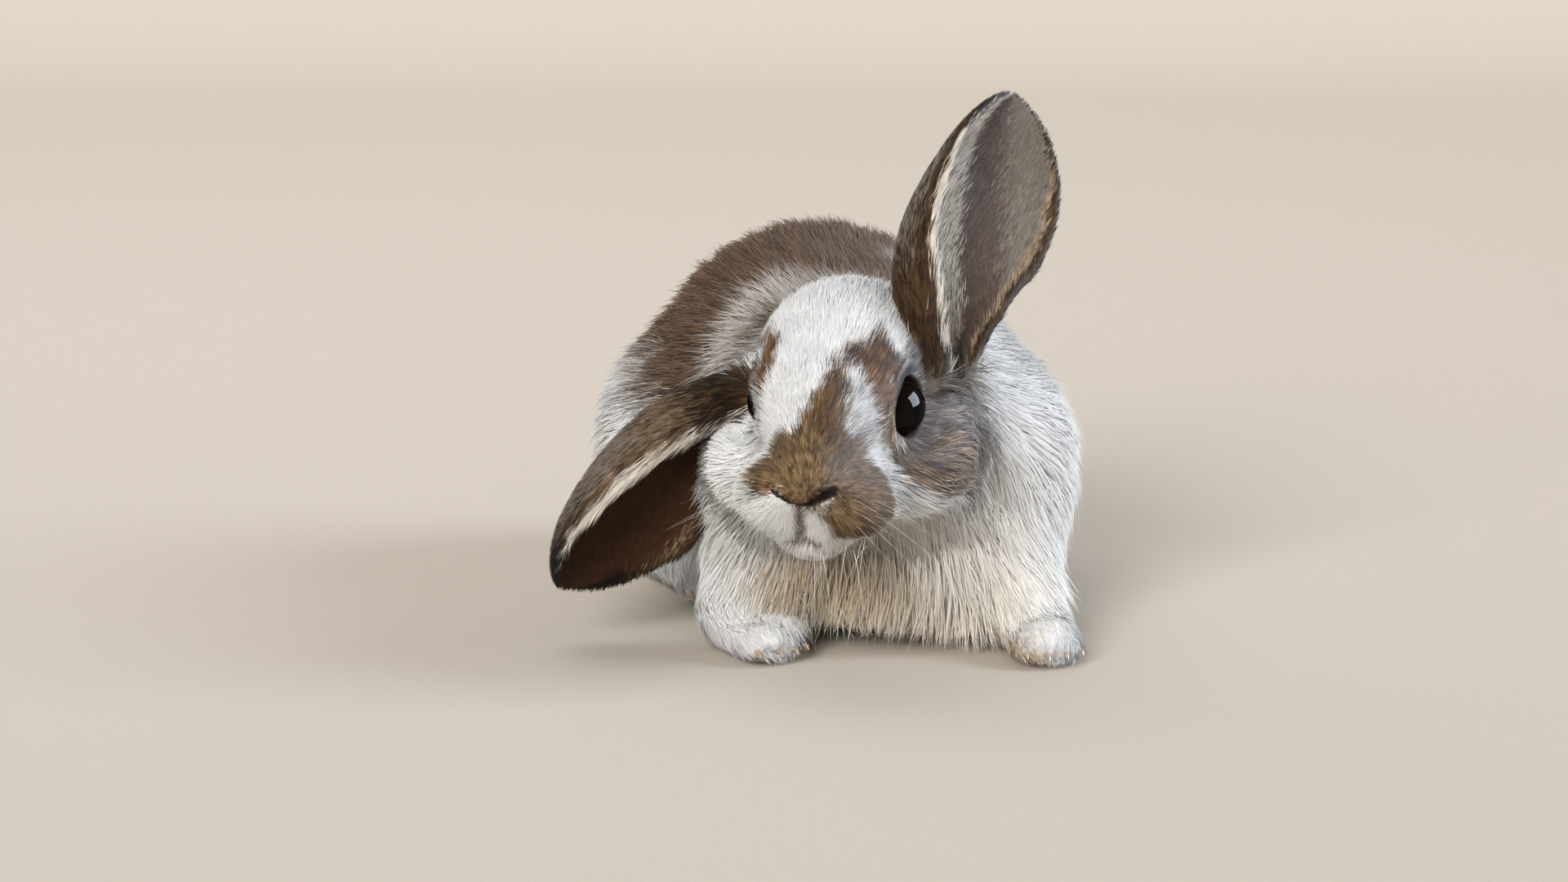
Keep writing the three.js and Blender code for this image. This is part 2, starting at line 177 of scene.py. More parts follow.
def curve_points(route, shares):
    """A centripetal curve through the route's points, at shares of its length in spans."""
    route = np.array(route, float)
    last = len(route) - 1
    ends = np.vstack([2 * route[0] - route[1], route, 2 * route[-1] - route[-2]])
    span = np.minimum((shares * last).astype(int), last - 1)
    w = (shares * last - span)[:, None]
    p0, p1, p2, p3 = (ends[span + k] for k in range(4))
    gap = [np.maximum(np.linalg.norm(b - a, axis=1, keepdims=True) ** 0.5, 1e-4)
           for a, b in ((p0, p1), (p1, p2), (p2, p3))]
    start = ((p1 - p0) / gap[0] - (p2 - p0) / (gap[0] + gap[1]) + (p2 - p1) / gap[1]) * gap[1]
    end = ((p2 - p1) / gap[1] - (p3 - p1) / (gap[1] + gap[2]) + (p3 - p2) / gap[2]) * gap[1]
    cubic = 2 * p1 - 2 * p2 + start + end
    square = -3 * p1 + 3 * p2 - 2 * start - end
    return p1 + start * w + square * w**2 + cubic * w**3


def ear_sheet(side):
    """Points of the sheet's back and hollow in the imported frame, as rows by columns, and the way along it per row."""
    shares = np.sin(np.pi / 2 * np.linspace(0, 1, EAR_ROWS + 1))
    line = curve_points(EARS[side]["route"], shares)
    along = unit(np.gradient(line, shares + np.linspace(0, 1e-6, len(shares)), axis=0))
    facing = unit(EARS[side]["facing"])
    aside = unit(np.cross(along, facing))
    opening = np.cross(aside, along)
    width = EAR_WIDTH * (0.6 + 0.4 * np.sin(np.pi / 2 * np.minimum(1, shares / 0.5)))
    width *= (1 - np.maximum(0, (shares - 0.5) / 0.5) ** 2.4) ** 0.56
    fold = mix(0.58, 0.42, shares)
    across = np.linspace(-1, 1, EAR_COLUMNS + 1)[None, :]
    inner = across < 0
    roll = [mix(base, tip, shares**late)[:, None] for base, tip, late in (INNER_ROLL, OUTER_ROLL)]
    roll = radians(np.where(inner, *roll))
    radius = np.where(inner, (width * fold)[:, None], (width * (1 - fold))[:, None]) / roll
    thickness = np.minimum((EAR_THICKNESS * (1.1 - 0.5 * shares))[:, None], radius * 0.6)
    layers = []
    for arm in (radius, radius - thickness):
        out = SIDES[side] * np.sin(across * roll) * arm
        rise = radius - np.cos(across * roll) * arm
        sheet = line[:, None] + aside[:, None] * out[..., None] + opening[:, None] * rise[..., None]
        layers.append(HEAD.world(sheet))
    return layers[0], layers[1], HEAD.aim(along)


EAR_SHEETS = {side: ear_sheet(side) for side in SIDES}

# ------------------------------------------------------------
# The flesh as a field: distance from the coat's outline on a grid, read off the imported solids.

VOXEL = 0.6
BAND = 15  # voxels either side of a surface where distances are true
FADE = 2.5  # how far out of a part its own depth and length of coat still tell
SEAM = 0.35  # each solid grows this much, so that the thin gaps between them close

# For each part: how deep the skin lies under the tips of the coat, how far its facets are smoothed away, and how
# long its hair is.
FLESH = {"trunk": (7.0, 1, 15), "neck": (5.5, 1, 12), "head": (1.6, 0, 5), "tail": (4.0, 1, 12)}
LIMBS = {"thigh": (6.0, 1, 13), "foreleg": (3.0, 0.5, 9), "forepaw": (1.0, 0, 4.6), "hind_foot": (1.5, 0, 4.8)}
for limb, of_limb in LIMBS.items():
    FLESH.update({f"{limb}_{side}": of_limb for side in SIDES})

MARGIN = 6  # round the solids' box
LOW = np.floor((np.array(CAD_BOX[0]) / MM - MARGIN) / VOXEL).astype(int)
SHAPE = tuple(np.ceil((np.array(CAD_BOX[1]) / MM + MARGIN) / VOXEL).astype(int) - LOW)


def triangles_of(node):
    """A solid's points, in millimetres, and its triangles."""
    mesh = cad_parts[node].data
    points = np.empty(len(mesh.vertices) * 3, np.float32)
    mesh.vertices.foreach_get("co", points)
    mesh.calc_loop_triangles()
    corners = np.empty(len(mesh.loop_triangles) * 3, np.int32)
    mesh.loop_triangles.foreach_get("vertices", corners)
    return points.reshape(-1, 3) / MM, corners.reshape(-1, 3)


def distance_to(points, triangles=None, quads=None):
    """Signed distance from a closed mesh on the grid, held at the band's ends."""
    faces = {"triangles": triangles} if quads is None else {"quads": quads}
    grid = openvdb.FloatGrid.createLevelSetFromPolygons(
        np.asarray(points, np.float32), transform=openvdb.createLinearTransform(VOXEL), halfWidth=BAND,
        **{k: np.asarray(v, np.uint32) for k, v in faces.items()})
    field = np.empty(SHAPE, np.float32)
    grid.copyToArray(field, ijk=tuple(int(i) for i in LOW))
    return field


def surface_of(field, level=0.0, adaptivity=0.0):
    """Points and triangles of the surface where the field is at the level."""
    band = 3 * VOXEL
    grid = openvdb.FloatGrid(band)
    grid.copyFromArray(np.clip(field - level, -band, band).astype(np.float32), ijk=tuple(int(i) for i in LOW))
    grid.transform = openvdb.createLinearTransform(VOXEL)
    points, triangles, quads = grid.convertToPolygons(isovalue=0.0, adaptivity=adaptivity)
    return points, np.vstack([triangles, quads[:, [0, 1, 2]], quads[:, [0, 2, 3]]])


def influence(field):
    """1 inside a part, and less the further a point is from it."""
    return np.exp(-np.maximum(field, 0) / FADE)


def box_blur(field, reach):
    """The mean over a box of 2 * reach + 1 voxels, three times over, which is close to a Gaussian."""
    for _ in range(3):
        for axis in range(3):
            padded = np.concatenate([np.repeat(field.take([0], axis), reach + 1, axis), field,
                                     np.repeat(field.take([-1], axis), reach, axis)], axis)
            total = np.cumsum(padded, axis, dtype=np.float64)
            size = field.shape[axis]
            high = total.take(range(2 * reach + 1, 2 * reach + 1 + size), axis)
            field = ((high - total.take(range(size), axis)) / (2 * reach + 1)).astype(np.float32)
    return field


def sampled(field, points):
    """The field's value at points in millimetres, by linear interpolation."""
    where = np.clip(np.asarray(points) / VOXEL - LOW, 0, np.array(SHAPE) - 1.001)
    cell = where.astype(int)
    part = where - cell
    value = np.zeros(len(where))
    for corner in np.ndindex(2, 2, 2):
        weight = np.prod(np.where(corner, part, 1 - part), axis=1)
        value += weight * field[tuple((cell + corner).T)]
    return value


def slope(field, points, step=0.8):
    """The way out of the field, at points in millimetres."""
    out = np.stack([sampled(field, points + np.eye(3)[a] * step) - sampled(field, points - np.eye(3)[a] * step)
                    for a in range(3)], 1)
    return unit(out)


def melted_min(a, b, blend):
    """The lesser of two fields, with the crease between them filled over the blend's width."""
    overlap = np.maximum(0, 1 - np.abs(a - b) / blend)
    return np.minimum(a, b) - overlap**2 * blend / 4


def melted_max(a, b, blend):
    return -melted_min(-a, -b, blend)


def grid_points(low, high):
    """The grid's points inside a box in millimetres: the slices, and the points as an array."""
    start = np.clip(np.floor(np.array(low) / VOXEL).astype(int) - LOW, 0, SHAPE)
    stop = np.clip(np.ceil(np.array(high) / VOXEL).astype(int) - LOW, 0, SHAPE)
    axes = [((np.arange(a, b) + c) * VOXEL).astype(np.float32) for a, b, c in zip(start, stop, LOW)]
    points = np.stack(np.meshgrid(*axes, indexing="ij"), -1)
    return tuple(slice(a, b) for a, b in zip(start, stop)), points


def to_line(points, line):
    """Distance from a line of points, and the share along it of the nearest place."""
    line = np.array(line, float)
    best = np.full(points.shape[:-1], 1e9)
    share = np.zeros(points.shape[:-1])
    for i, (a, b) in enumerate(zip(line[:-1], line[1:])):
        t = np.clip(((points - a) @ (b - a)) / ((b - a) @ (b - a)), 0, 1)
        distance = np.linalg.norm(points - a - t[..., None] * (b - a), axis=-1)
        share = np.where(distance < best, (i + t) / (len(line) - 1), share)
        best = np.minimum(best, distance)
    return best, share


HEAD_BOX = (HEAD.at - 46, HEAD.at + 48)  # holds the whole head and most of the neck


def coat_and_depth():
    """The outline's own field, one rounded for the skin, and the coat's depth, all on the grid."""
    outline = np.full(SHAPE, 1e3, np.float32)
    weight = np.full(SHAPE, 1e-6, np.float32)
    depth, broad = np.zeros(SHAPE, np.float32), np.zeros(SHAPE, np.float32)
    for node, field in NODE_FIELDS.items():
        outline = np.minimum(outline, field)
        if node in FLESH:
            near = influence(field)
            weight += near
            depth += near * FLESH[node][0]
            broad += near * FLESH[node][1]
    depth, broad = depth / weight, broad / weight
    outline = distance_to(*surface_of(outline, SEAM)) + SEAM
    window, points = grid_points(*HEAD_BOX)
    # the back of the head is rounded too, and the face keeps its shape
    behind = ramp(HEAD.local(points)[..., 1], -26, -10) * ramp(NODE_FIELDS["head"][window], 6, 2)
    broad[window] = np.maximum(broad[window], 0.8 * behind)
    rounded = mix(box_blur(outline, 1), box_blur(outline, 4), broad)
    return outline, rounded, depth


# Grooves of the nose and mouth, as lines on the face in the head's frame.
GROOVES = {
    "nostril_left": [(-1.7, -37.3, -10.2), (0.2, -37.9, -9.5), (2.3, -38.0, -8.2), (4.4, -37.2, -6.5),
                     (6.1, -35.9, -5.6)],
    "nostril_right": [(-1.7, -37.3, -10.2), (-3.9, -37.4, -9.0), (-6.1, -36.6, -7.6), (-7.9, -35.4, -6.4)],
    "philtrum": [(-1.7, -37.3, -10.2), (-1.9, -36.2, -13), (-2.2, -35.0, -16), (-2.6, -34.0, -18.8)],
    "mouth": [(-5.2, -32.2, -20.4), (-4.0, -33.0, -19.6), (-2.6, -33.6, -18.9), (-1.2, -33.4, -19.6),
              (0.4, -32.4, -20.4)],
}
# How wide each one is to either side, and how softly its edge rounds over.
GROOVE_WIDTHS = {"nostril_left": (1.15, 0.6), "nostril_right": (0.6, 0.6), "philtrum": (0.55, 2.2),
                 "mouth": (0.9, 1.4)}
LID_THICKNESS = 0.8
LID_REACH = (6.4, 7.0)  # from the eye's axis to the lids' edge, forward and up


def eye_opening(points, side):
    """Distance from the eye's middle, and how far outside the lids' edge a point is, across the eye's axis."""
    axis = on_side(EYE_AXIS, side)
    forward = unit(np.array([0, -1, 0.12]) - axis * (np.array([0, -1, 0.12]) @ axis))
    upward = np.cross(axis, forward)
    offset = points - on_side(EYE_AT, side)
    wide, high = np.abs(offset @ forward) / LID_REACH[0], np.abs(offset @ upward) / LID_REACH[1]
    corner = 0.07 * ramp(wide, 0.6, 1.0)  # the corners draw out to points
    beyond = (np.sqrt(wide**2 + high**2) - 1 - corner) * LID_REACH[0]
    return np.linalg.norm(offset, axis=-1), np.where(offset @ axis > 0, beyond, 20.0)


def settled(line, field):
    """The line with more points, each moved onto the skin, in the head's frame."""
    line = np.array(line, float)
    share = np.linspace(0, len(line) - 1, 4 * len(line))
    line = HEAD.world(np.stack([np.interp(share, np.arange(len(line)), line[:, a]) for a in range(3)], 1))
    for _ in range(4):
        line = line - slope(field, line) * sampled(field, line)[:, None]
    return HEAD.local(line)


def add_eyelids(skin, side):
    """A thin lid over the eyeball, level with the face about it, open where the eye shows."""
    middle = HEAD.world(on_side(EYE_AT, side))
    window, points = grid_points(middle - 24, middle + 24)
    part, local = skin[window].astype(float), HEAD.local(points)
    reach, beyond = eye_opening(local, side)
    shell = EYE_RADIUS + LID_THICKNESS
    part = melted_min(part, reach - shell, 2.5)
    off = local - on_side(EYE_AT, side)
    out = off @ on_side(EYE_AXIS, side)
    lateral = np.sqrt(np.maximum(reach**2 - out**2, 0))  # away from it the face is left as it is
    spare = 0.75 * np.maximum(0, lateral - 6.5) + 3 * np.maximum(0, lateral - 10)
    dish = np.where(out > 0, reach - shell - spare, -20)
    part = melted_max(part, dish, 1.6)
    well = np.maximum(beyond, EYE_RADIUS - 2 - reach)
    skin[window] = melted_max(part, -well, 0.5)


def add_groove(skin, name):
    """A groove cut into the face along its line; a nostril's tapers to both ends."""
    width, blend = GROOVE_WIDTHS[name]
    line = GROOVES[name]
    where = HEAD.world(line)
    window, points = grid_points(where.min(0) - 7, where.max(0) + 7)
    distance, share = to_line(HEAD.local(points), line)
    if name.startswith("nostril"):
        width = width * np.sin(np.pi * np.clip(0.15 + 0.75 * share, 0, 1))
    skin[window] = melted_max(skin[window].astype(float), width - distance, blend)


def head_depth(depth):
    """The face's coat is thinnest on the nose and round the eyes and deepens over the crown and the cheeks."""
    window, points = grid_points(*HEAD_BOX)
    local = HEAD.local(points)
    _, y, z = np.moveaxis(local, -1, 0)
    face = 0.5 + 0.9 * ramp(y, -36, -20) + 1.4 * ramp(y, -12, 18) + 1.0 * ramp(z, -4, -20) * ramp(y, -28, -8)
    for side in SIDES:
        face *= mix(0.15, 1, ramp(eye_opening(local, side)[0], 8, 17))
    of_head = ramp(NODE_FIELDS["head"][window], 3, 0) * ramp(NODE_FIELDS["neck"][window], -2, 2)
    depth[window] = mix(depth[window], face, of_head)


def grid_quads(index, flipped=False):
    """The four-cornered faces between rows and columns of point numbers."""
    a, b, c, d = index[:-1, :-1], index[:-1, 1:], index[1:, 1:], index[1:, :-1]
    return np.stack([a, d, c, b] if flipped else [a, b, c, d], -1).reshape(-1, 4)


def ear_field(back, hollow):
    """Distance from an ear: its two sheets, closed along both edges and over the base."""
    rows, columns = back.shape[:2]
    index = np.arange(rows * columns).reshape(rows, columns)
    other = index + rows * columns
    edges = (other[:, 0], index[:, 0]), (index[:, -1], other[:, -1]), (index[0], other[0])
    quads = [grid_quads(index), grid_quads(other, flipped=True), *(grid_quads(np.stack(e)) for e in edges)]
    field = distance_to(np.vstack([back.reshape(-1, 3), hollow.reshape(-1, 3)]), quads=np.vstack(quads))
    if field.min() > -0.2 or (field < 0).mean() > 0.5:
        raise ValueError("the ear's sheet is inside out")
    return field


NODE_FIELDS = {node: distance_to(*triangles_of(node)) for node in (*FLESH, "eye_left", "eye_right")}
outline, skin_field, depth_field = coat_and_depth()
head_depth(depth_field)
depth_field = box_blur(depth_field, 2)
skin_field = skin_field + depth_field
GROOVES = {name: settled(line, skin_field) for name, line in GROOVES.items()}
for side in SIDES:
    add_eyelids(skin_field, side)
for name in GROOVES:
    add_groove(skin_field, name)
for back, hollow, _ in EAR_SHEETS.values():
    skin_field = melted_min(skin_field, ear_field(back, hollow), 3.0).astype(np.float32)

# ------------------------------------------------------------
# Colours of the coat, bare skin, eyes and horn, as sRGB hex turned to linear light.


def linear(hex_colour):
    """sRGB hex to linear light, which is what the renderer works in."""
    s = np.array([int(hex_colour[i:i + 2], 16) for i in (0, 2, 4)]) / 255
    return np.where(s <= 0.04045, s / 12.92, ((s + 0.055) / 1.055) ** 2.4)


# Each sort of hair: its colour at the root, along its middle and at the tip, and the share that are darker. Most roots
# are darker than the rest of the hair, partly the hairs' own banding and partly painted shade deep in the coat.
HAIRS = {
    "white": ("dcd9d6", "e6e7e8", "eef0f2", 0.0),
    "stained": ("a8916f", "c2a680", "cfb48c", 0.05),
    "nose brown": ("43362c", "967c5e", "7d664a", 0.44),
    "stripe brown": ("33271f", "93744c", "604730", 0.52),
    "brow brown": ("362b23", "87694a", "5a4330", 0.48),
    "tan": ("7d6c58", "ad9a80", "a08b70", 0.10),
    "orange brown": ("4f3d2e", "93704c", "7a5a3c", 0.34),
    "side grey": ("5a544f", "8e8780", "7b746e", 0.34),
    "under eye": ("473b32", "8a7560", "6b5947", 0.42),
    # painted shade under the chin and head, pale and warm
    "warm white painted shade": ("c3b5a1", "d9cebf", "ddd3c5", 0.0),
    "chest white": ("cbc2b5", "dfd8cd", "e6e0d7", 0.0),
    # painted shade on the throat under the chin, tan
    "throat tan painted shade": ("94836b", "b3a38c", "bcad97", 0.0),
    "white grey": ("a5a29d", "cfd0d0", "c9cacb", 0.10),
    "nape grey": ("8f8a85", "bdb9b5", "b5b1ad", 0.10),
    "streaked white": ("84817e", "cbcdce", "d9dbdc", 0.26),
    "saddle brown": ("3c3027", "6d5744", "574434", 0.30),
    "shoulder grey": ("86827e", "b2afab", "a9a5a1", 0.12),
    "ear brown": ("30241a", "5d4731", "37291b", 0.40),
    "lop brown": ("4a3c30", "8a7760", "6d5a46", 0.38),
    "ear black": ("16130f", "1d1916", "0d0c0c", 0.0),
    "ear grey": ("5f5953", "857e76", "7b746b", 0.0),
    "ear cream": ("b5ada2", "d8d2c7", "dad4c9", 0.0),
    # the two ear insides are partly their own colour and partly painted shade in the hollows
    "ear inside and painted shade": ("4a3e39", "64564f", "5a4c46", 0.0),
    "lop inside and painted shade": ("35251a", "503725", "432c1c", 0.0),
    "gold brown": ("4c3d30", "a1896a", "8b7150", 0.34),
    "lip pink": ("4a3530", "6a4f47", "7d6158", 0.0),
    # the lids' own dark edges, and painted shadow under the upper lids
    "lid edge and painted shadow": ("1d1713", "2b211a", "211912", 0.0),
}
HAIR_NAMES = list(HAIRS)

# ------------------------------------------------------------
# Markings, and a few patches of painted shade among them, painted in this order: a frame, a line of places along it
# with the patch's radius at each, how soft its edge is, and the hair. A patch is where the coat's root is nearer to the
# line than the radius.

MARKINGS = [
    # the body: a brown saddle over the back and loins, white flanks, and grey where they meet
    ("body", [(-14, -6, 60, 37), (-6, 30, 56, 44), (0, 56, 44, 32)], 8, "saddle brown"),
    ("body", [(18, -20, 74, 20), (36, -16, 66, 13), (44, 4, 60, 18)], 8, "shoulder grey"),
    ("body", [(6, 4, 87, 15), (-2, -12, 87, 12), (-2, -30, 86, 11), (6, -40, 86, 10)], 5, "saddle brown"),
    ("body", [(28, -44, 70, 7), (38, -40, 62, 7)], 6, "shoulder grey"),
    ("body", [(-54, 22, 40, 20), (-50, 44, 36, 14)], 9, "white grey"),
    ("body", [(-56, 6, 62, 14), (-54, 24, 64, 13)], 8, "white grey"),
    ("body", [(-12, -36, 82, 6), (-18, -28, 81, 8), (-24, -18, 77, 8), (-32, -24, 68, 9)], 6, "nape grey"),
    ("body", [(-50, -8, 20, 30)], 8, "white"),
    ("body", [(-14, -60, 38, 13), (10, -62, 38, 13)], 12, "chest white"),
    ("body", [(-12, -62, 18, 12), (12, -66, 18, 12)], 14, "chest white"),
    # painted shade on the throat under the chin: pale and warm, and tan where it is deepest
    ("body", [(-28, -58, 24, 8), (-16, -62, 24, 12), (-2, -64, 20, 6)], 10, "warm white painted shade"),
    ("body", [(-26, -58, 25, 5), (-17, -63, 27, 8), (-8, -64, 25, 5)], 8, "throat tan painted shade"),
    ("tail", [(0, -2, 12, 13), (0, 0, 22, 12)], 4, "saddle brown"),
    # the head's left side: grey from the ear down past the eye, browner below the eye
    ("head", [(20, 18, 13, 11), (25, 10, 3, 15), (29, 12, -9, 13)], 4, "side grey"),
    ("head", [(18.5, -1.5, 11, 5), (23.3, 2, 0, 10)], 3, "side grey"),
    ("head", [(16.5, -14.5, -6.2, 3.6), (20, -9, -7, 5)], 2.4, "under eye"),
    ("head", [(18.5, -14, -7.6, 4.6), (24.5, -9.5, -8.4, 7.6), (30, -2, -10, 9)], 3.5, "under eye"),
    ("head", [(30, 8, -10, 9)], 5, "side grey"),
    ("head", [(14.5, -16.5, 1, 4.2), (16.5, -14.5, 7.5, 4)], 2.4, "tan"),
    ("head", [(2, 30, 14, 9), (9, 28, 16, 10), (14, 24, 18, 8)], 5, "saddle brown"),
    ("head", [(-12, 26, 14, 7)], 6, "white grey"),
    ("head", [(7, -19, 11, 3.2), (9.4, -23.5, 5.5, 4.2), (9.5, -27, 1, 4.0)], 2.6, "streaked white"),
    # painted shade under the chin, pale and warm
    ("head", [(-3, -30, -25, 4), (6, -28, -26, 4)], 4, "warm white painted shade"),
    # brow, stripe and nose
    ("head", [(6.6, -12.8, 16.8, 3.8), (11.2, -11.8, 15.6, 5.8), (14.4, -10.8, 13.6, 4.4)], 2.2, "brow brown"),
    ("head", [(10.5, -5.4, 19.2, 2.2), (11.5, -9, 17, 3)], 2.0, "brow brown"),
    ("head", [(12.6, -16.5, 12, 3.2), (13.6, -19, 7.5, 2.8), (13.6, -20.5, 3.5, 1.8)], 2.2, "orange brown"),
    ("head", [(1.5, -14.8, 17.2, 1.2), (3.6, -18.5, 15.6, 2.3), (4.1, -22.5, 13.6, 3.0), (3.8, -27, 11, 3.8)],
     1.8, "stripe brown"),
    ("head", [(3.4, -29, 9, 4.8), (2.0, -32.5, 4.4, 5.8), (0, -36, 0, 6.8), (-1.2, -38, -5, 6)], 2.0, "nose brown"),
    ("head", [(-1, -37, -1, 4.2), (-5, -35, -2, 3.6), (-9, -32, -4.5, 3.4)], 3.0, "gold brown"),
    ("head", [(-6, -32, 1.5, 3.6), (-9.5, -31, -3.4, 4.0), (-10.4, -32, -5.6, 3.2)], 2.0, "nose brown"),
    ("head", [(7.5, -32, -1, 6), (11, -33, -5.5, 7.0), (13.5, -31, -9, 7.8), (9, -34.5, -14, 5.8)],
     2.0, "nose brown"),
    ("head", [(5.7, -36.2, -10.9, 3.6), (14, -33, -11, 4.5)], 3.0, "gold brown"),
    ("head", [(3.8, -25.5, 12.4, 2.6), (3.2, -29.5, 8.6, 3.8), (6.5, -31.5, 1, 2.4)], 2.6, "stripe brown"),
    ("head", [(-3.6, -35, -17.5, 4.4), (-2.5, -33, -22.5, 6)], 1.5, "white"),
    ("head", [(-7.5, -35, -12, 4.2)], 1.5, "white"),
    # crown: grey hairs by the upright ear, and a white spot under them
    ("head", [(12.5, 8, 22.5, 5.5), (7, 15, 26.5, 5)], 5, "streaked white"),
    ("head", [(13.5, 14, 17, 5.5), (17.5, 10, 12, 4.5)], 3.0, "side grey"),
    ("head", [(15.3, 1, 18.6, 3.6)], 2.2, "white"),
    # the head's right side: an orange brown strip before the hanging ear, and dark brown at the ear's root, partly the
    # fur's own colour and partly painted shade under the hanging ear
    ("head", [(-17.5, -1, 15, 2.8), (-14.6, -8.5, 15, 2.9), (-14.2, -15.5, 11.5, 2.4), (-14.6, -19.5, 6, 1.6)],
     2.2, "orange brown"),
    ("head", [(-21, 4, 8, 4.8), (-23.5, 1, -2, 4.5)], 2.5, "ear brown"),
]
FRAMES = {"body": BODY, "head": HEAD, "tail": TAIL}


def waves(points, size, count=7, seed=1):
    """Smooth noise about -1 to 1, with bumps about the size given, in millimetres."""
    own = np.random.default_rng(seed)
    ways = unit(own.normal(size=(count, 3))) * (2 * math.pi / size) * own.uniform(0.35, 0.8, (count, 1))
    phases = own.uniform(0, 2 * math.pi, count)
    return np.sin(points @ ways.T + phases).sum(1) / math.sqrt(count)


def line_reach(points, line):
    """How far inside the swollen line each point is, in millimetres; the line's radius runs between its places."""
    line = np.array(line, float)
    if len(line) == 1:
        return line[0, 3] - np.linalg.norm(points - line[0, :3], axis=1)
    best = np.full(len(points), -1e3)
    for a, b in zip(line[:-1], line[1:]):
        span = b[:3] - a[:3]
        t = np.clip((points - a[:3]) @ span / (span @ span), 0, 1)
        best = np.maximum(best, mix(a[3], b[3], t) - np.linalg.norm(points - a[:3] - t[:, None] * span, axis=1))
    return best


def lid_shadow(local):
    """The lids' own dark edge round the eyes in a thin line below, and painted shadow of the upper lid in a wider band
    above and in front.
    """
    near = np.zeros(len(local))
    for side in SIDES:
        reach, beyond = eye_opening(local, side)
        off = local - on_side(EYE_AT, side)
        wide = mix(0.8, 2.2, ramp(off[:, 2], 1, 5) * ramp(off[:, 1], 3, -2))
        near = np.maximum(near, ramp(beyond, wide, wide * 0.5) * ramp(reach, 12, 10))
    return near


def lay(shares, hair, amount):
    """Puts a sort of hair over the ones already there, by an amount from 0 to 1 at each root."""
    amount = np.clip(amount, 0.0, 1.0)
    shares *= 1 - amount[:, None]
    shares[:, HAIR_NAMES.index(hair)] += amount


def ear_shares(scatter, ears):
    """The same on the ears, by how far along and across them the roots are."""
    back, share, across, left = (ears[k] for k in ("back", "share", "across", "left"))
    hollow, right = ~back, ~left
    edge = 1 - np.abs(across) + 0.025 * scatter
    in_fold = across - (0.42 - 0.98 * share**2)  # from where the rolled inner side hides the left ear's hollow
    hem = np.where(left, ramp(edge, 0.09, 0.04), ramp(edge, 0.14, 0.05))
    shares = np.zeros((len(share), len(HAIRS)))
    for hair, amount in (
        ("ear brown", np.ones(len(share))),
        ("lop brown", back * right * ramp(share, 0.1, 0.3) * ramp(share, 0.8, 0.55) * 0.85),
        ("ear grey", back * ramp(share, 0.3, 0.55) * ramp(edge, 0.12, 0.3) * ramp(share, 0.95, 0.8) * 0.55),
        # the hollow of the upright ear: its own darker colour, and painted shade near the fold behind the inner wall
        ("ear inside and painted shade", hollow & left),
        ("ear grey", hollow * left * ramp(in_fold, 0.4, 0.75)),
        # the hollow of the hanging ear: its own darker colour, and painted shade over all of it
        ("lop inside and painted shade", hollow & right),
        ("ear cream", hollow * left * ramp(in_fold, 0.24, 0.06) * 0.85),
        ("ear cream", hollow * right * ramp(edge, 0.46, 0.24) * (across < 0)),
        ("tan", ramp(edge, 0.20, 0.10) * hollow * (across > 0) * np.where(left, 0.8, 0.3)),
        ("ear cream", back * hem * ramp(share, 0.94, 0.8) * (across < 0)),
        ("ear black", ramp(share, 0.80, 0.96) * ramp(edge, 0.22, 0.10) * np.where(left, 0.8, 1)),
        ("ear black", right * ramp(share, 0.84, 0.95) * ramp(edge, 0.5, 0.2)),
        ("ear black", right * back * ramp(share, 0.72, 0.9) * ramp(across, 0.1, -0.3)),
        ("ear black", right * back * ramp(share, 0.34, 0.14) * 0.5),
        ("ear brown", ramp(edge, 0.10, 0.05) * (across > 0)),
    ):
        lay(shares, hair, amount)
    return shares


def hair_shares(points, scatter, ears):
    """How much of each sort of hair grows at each root, as points by sorts. Scatter breaks the patches' edges up."""
    shares = np.zeros((len(points), len(HAIRS)))
    shares[:, HAIR_NAMES.index("white")] = 1
    for name, line, soft, hair in MARKINGS:
        reach = line_reach(FRAMES[name].local(points), line) + scatter * soft * 0.22
        lay(shares, hair, ramp(reach, -soft * 0.75, soft * 0.75))
    for side, paw in FOREPAWS.items():
        x, y, z = paw.local(points).T
        lay(shares, "stained", ramp(x * -SIDES[side], 0, 8) * ramp(z, 9, 2) * ramp(np.hypot(x, y), 30, 20) * 0.85)
    for foot in HIND_FEET.values():
        x, y, z = foot.local(points).T
        lay(shares, "stained", ramp(z, 6, 1) * ramp(np.abs(x), 18, 12) * ramp(np.abs(y), 48, 34) * 0.5)
    local = HEAD.local(points)
    lips = [ramp(to_line(local, GROOVES["philtrum"])[0], 1.9, 0.7) * 0.8,
            ramp(to_line(local, GROOVES["mouth"])[0], 1.7, 0.8) * 0.9]
    lay(shares, "lip pink", np.maximum(*lips))
    # dark lid edges, and painted shadow above and in front of the eyes
    lay(shares, "lid edge and painted shadow", lid_shadow(local))
    return mix(shares, ear_shares(scatter, ears), ears["on"][:, None])


def patch_scatter(points):
    """Noise that frays the edges of the patches."""
    return waves(points, 2.2, seed=8) + 0.6 * waves(points, 6, seed=9)


# ------------------------------------------------------------
# The lie of the coat: places, in the parts' frames, and the way the hair lies there, with how far each one carries.

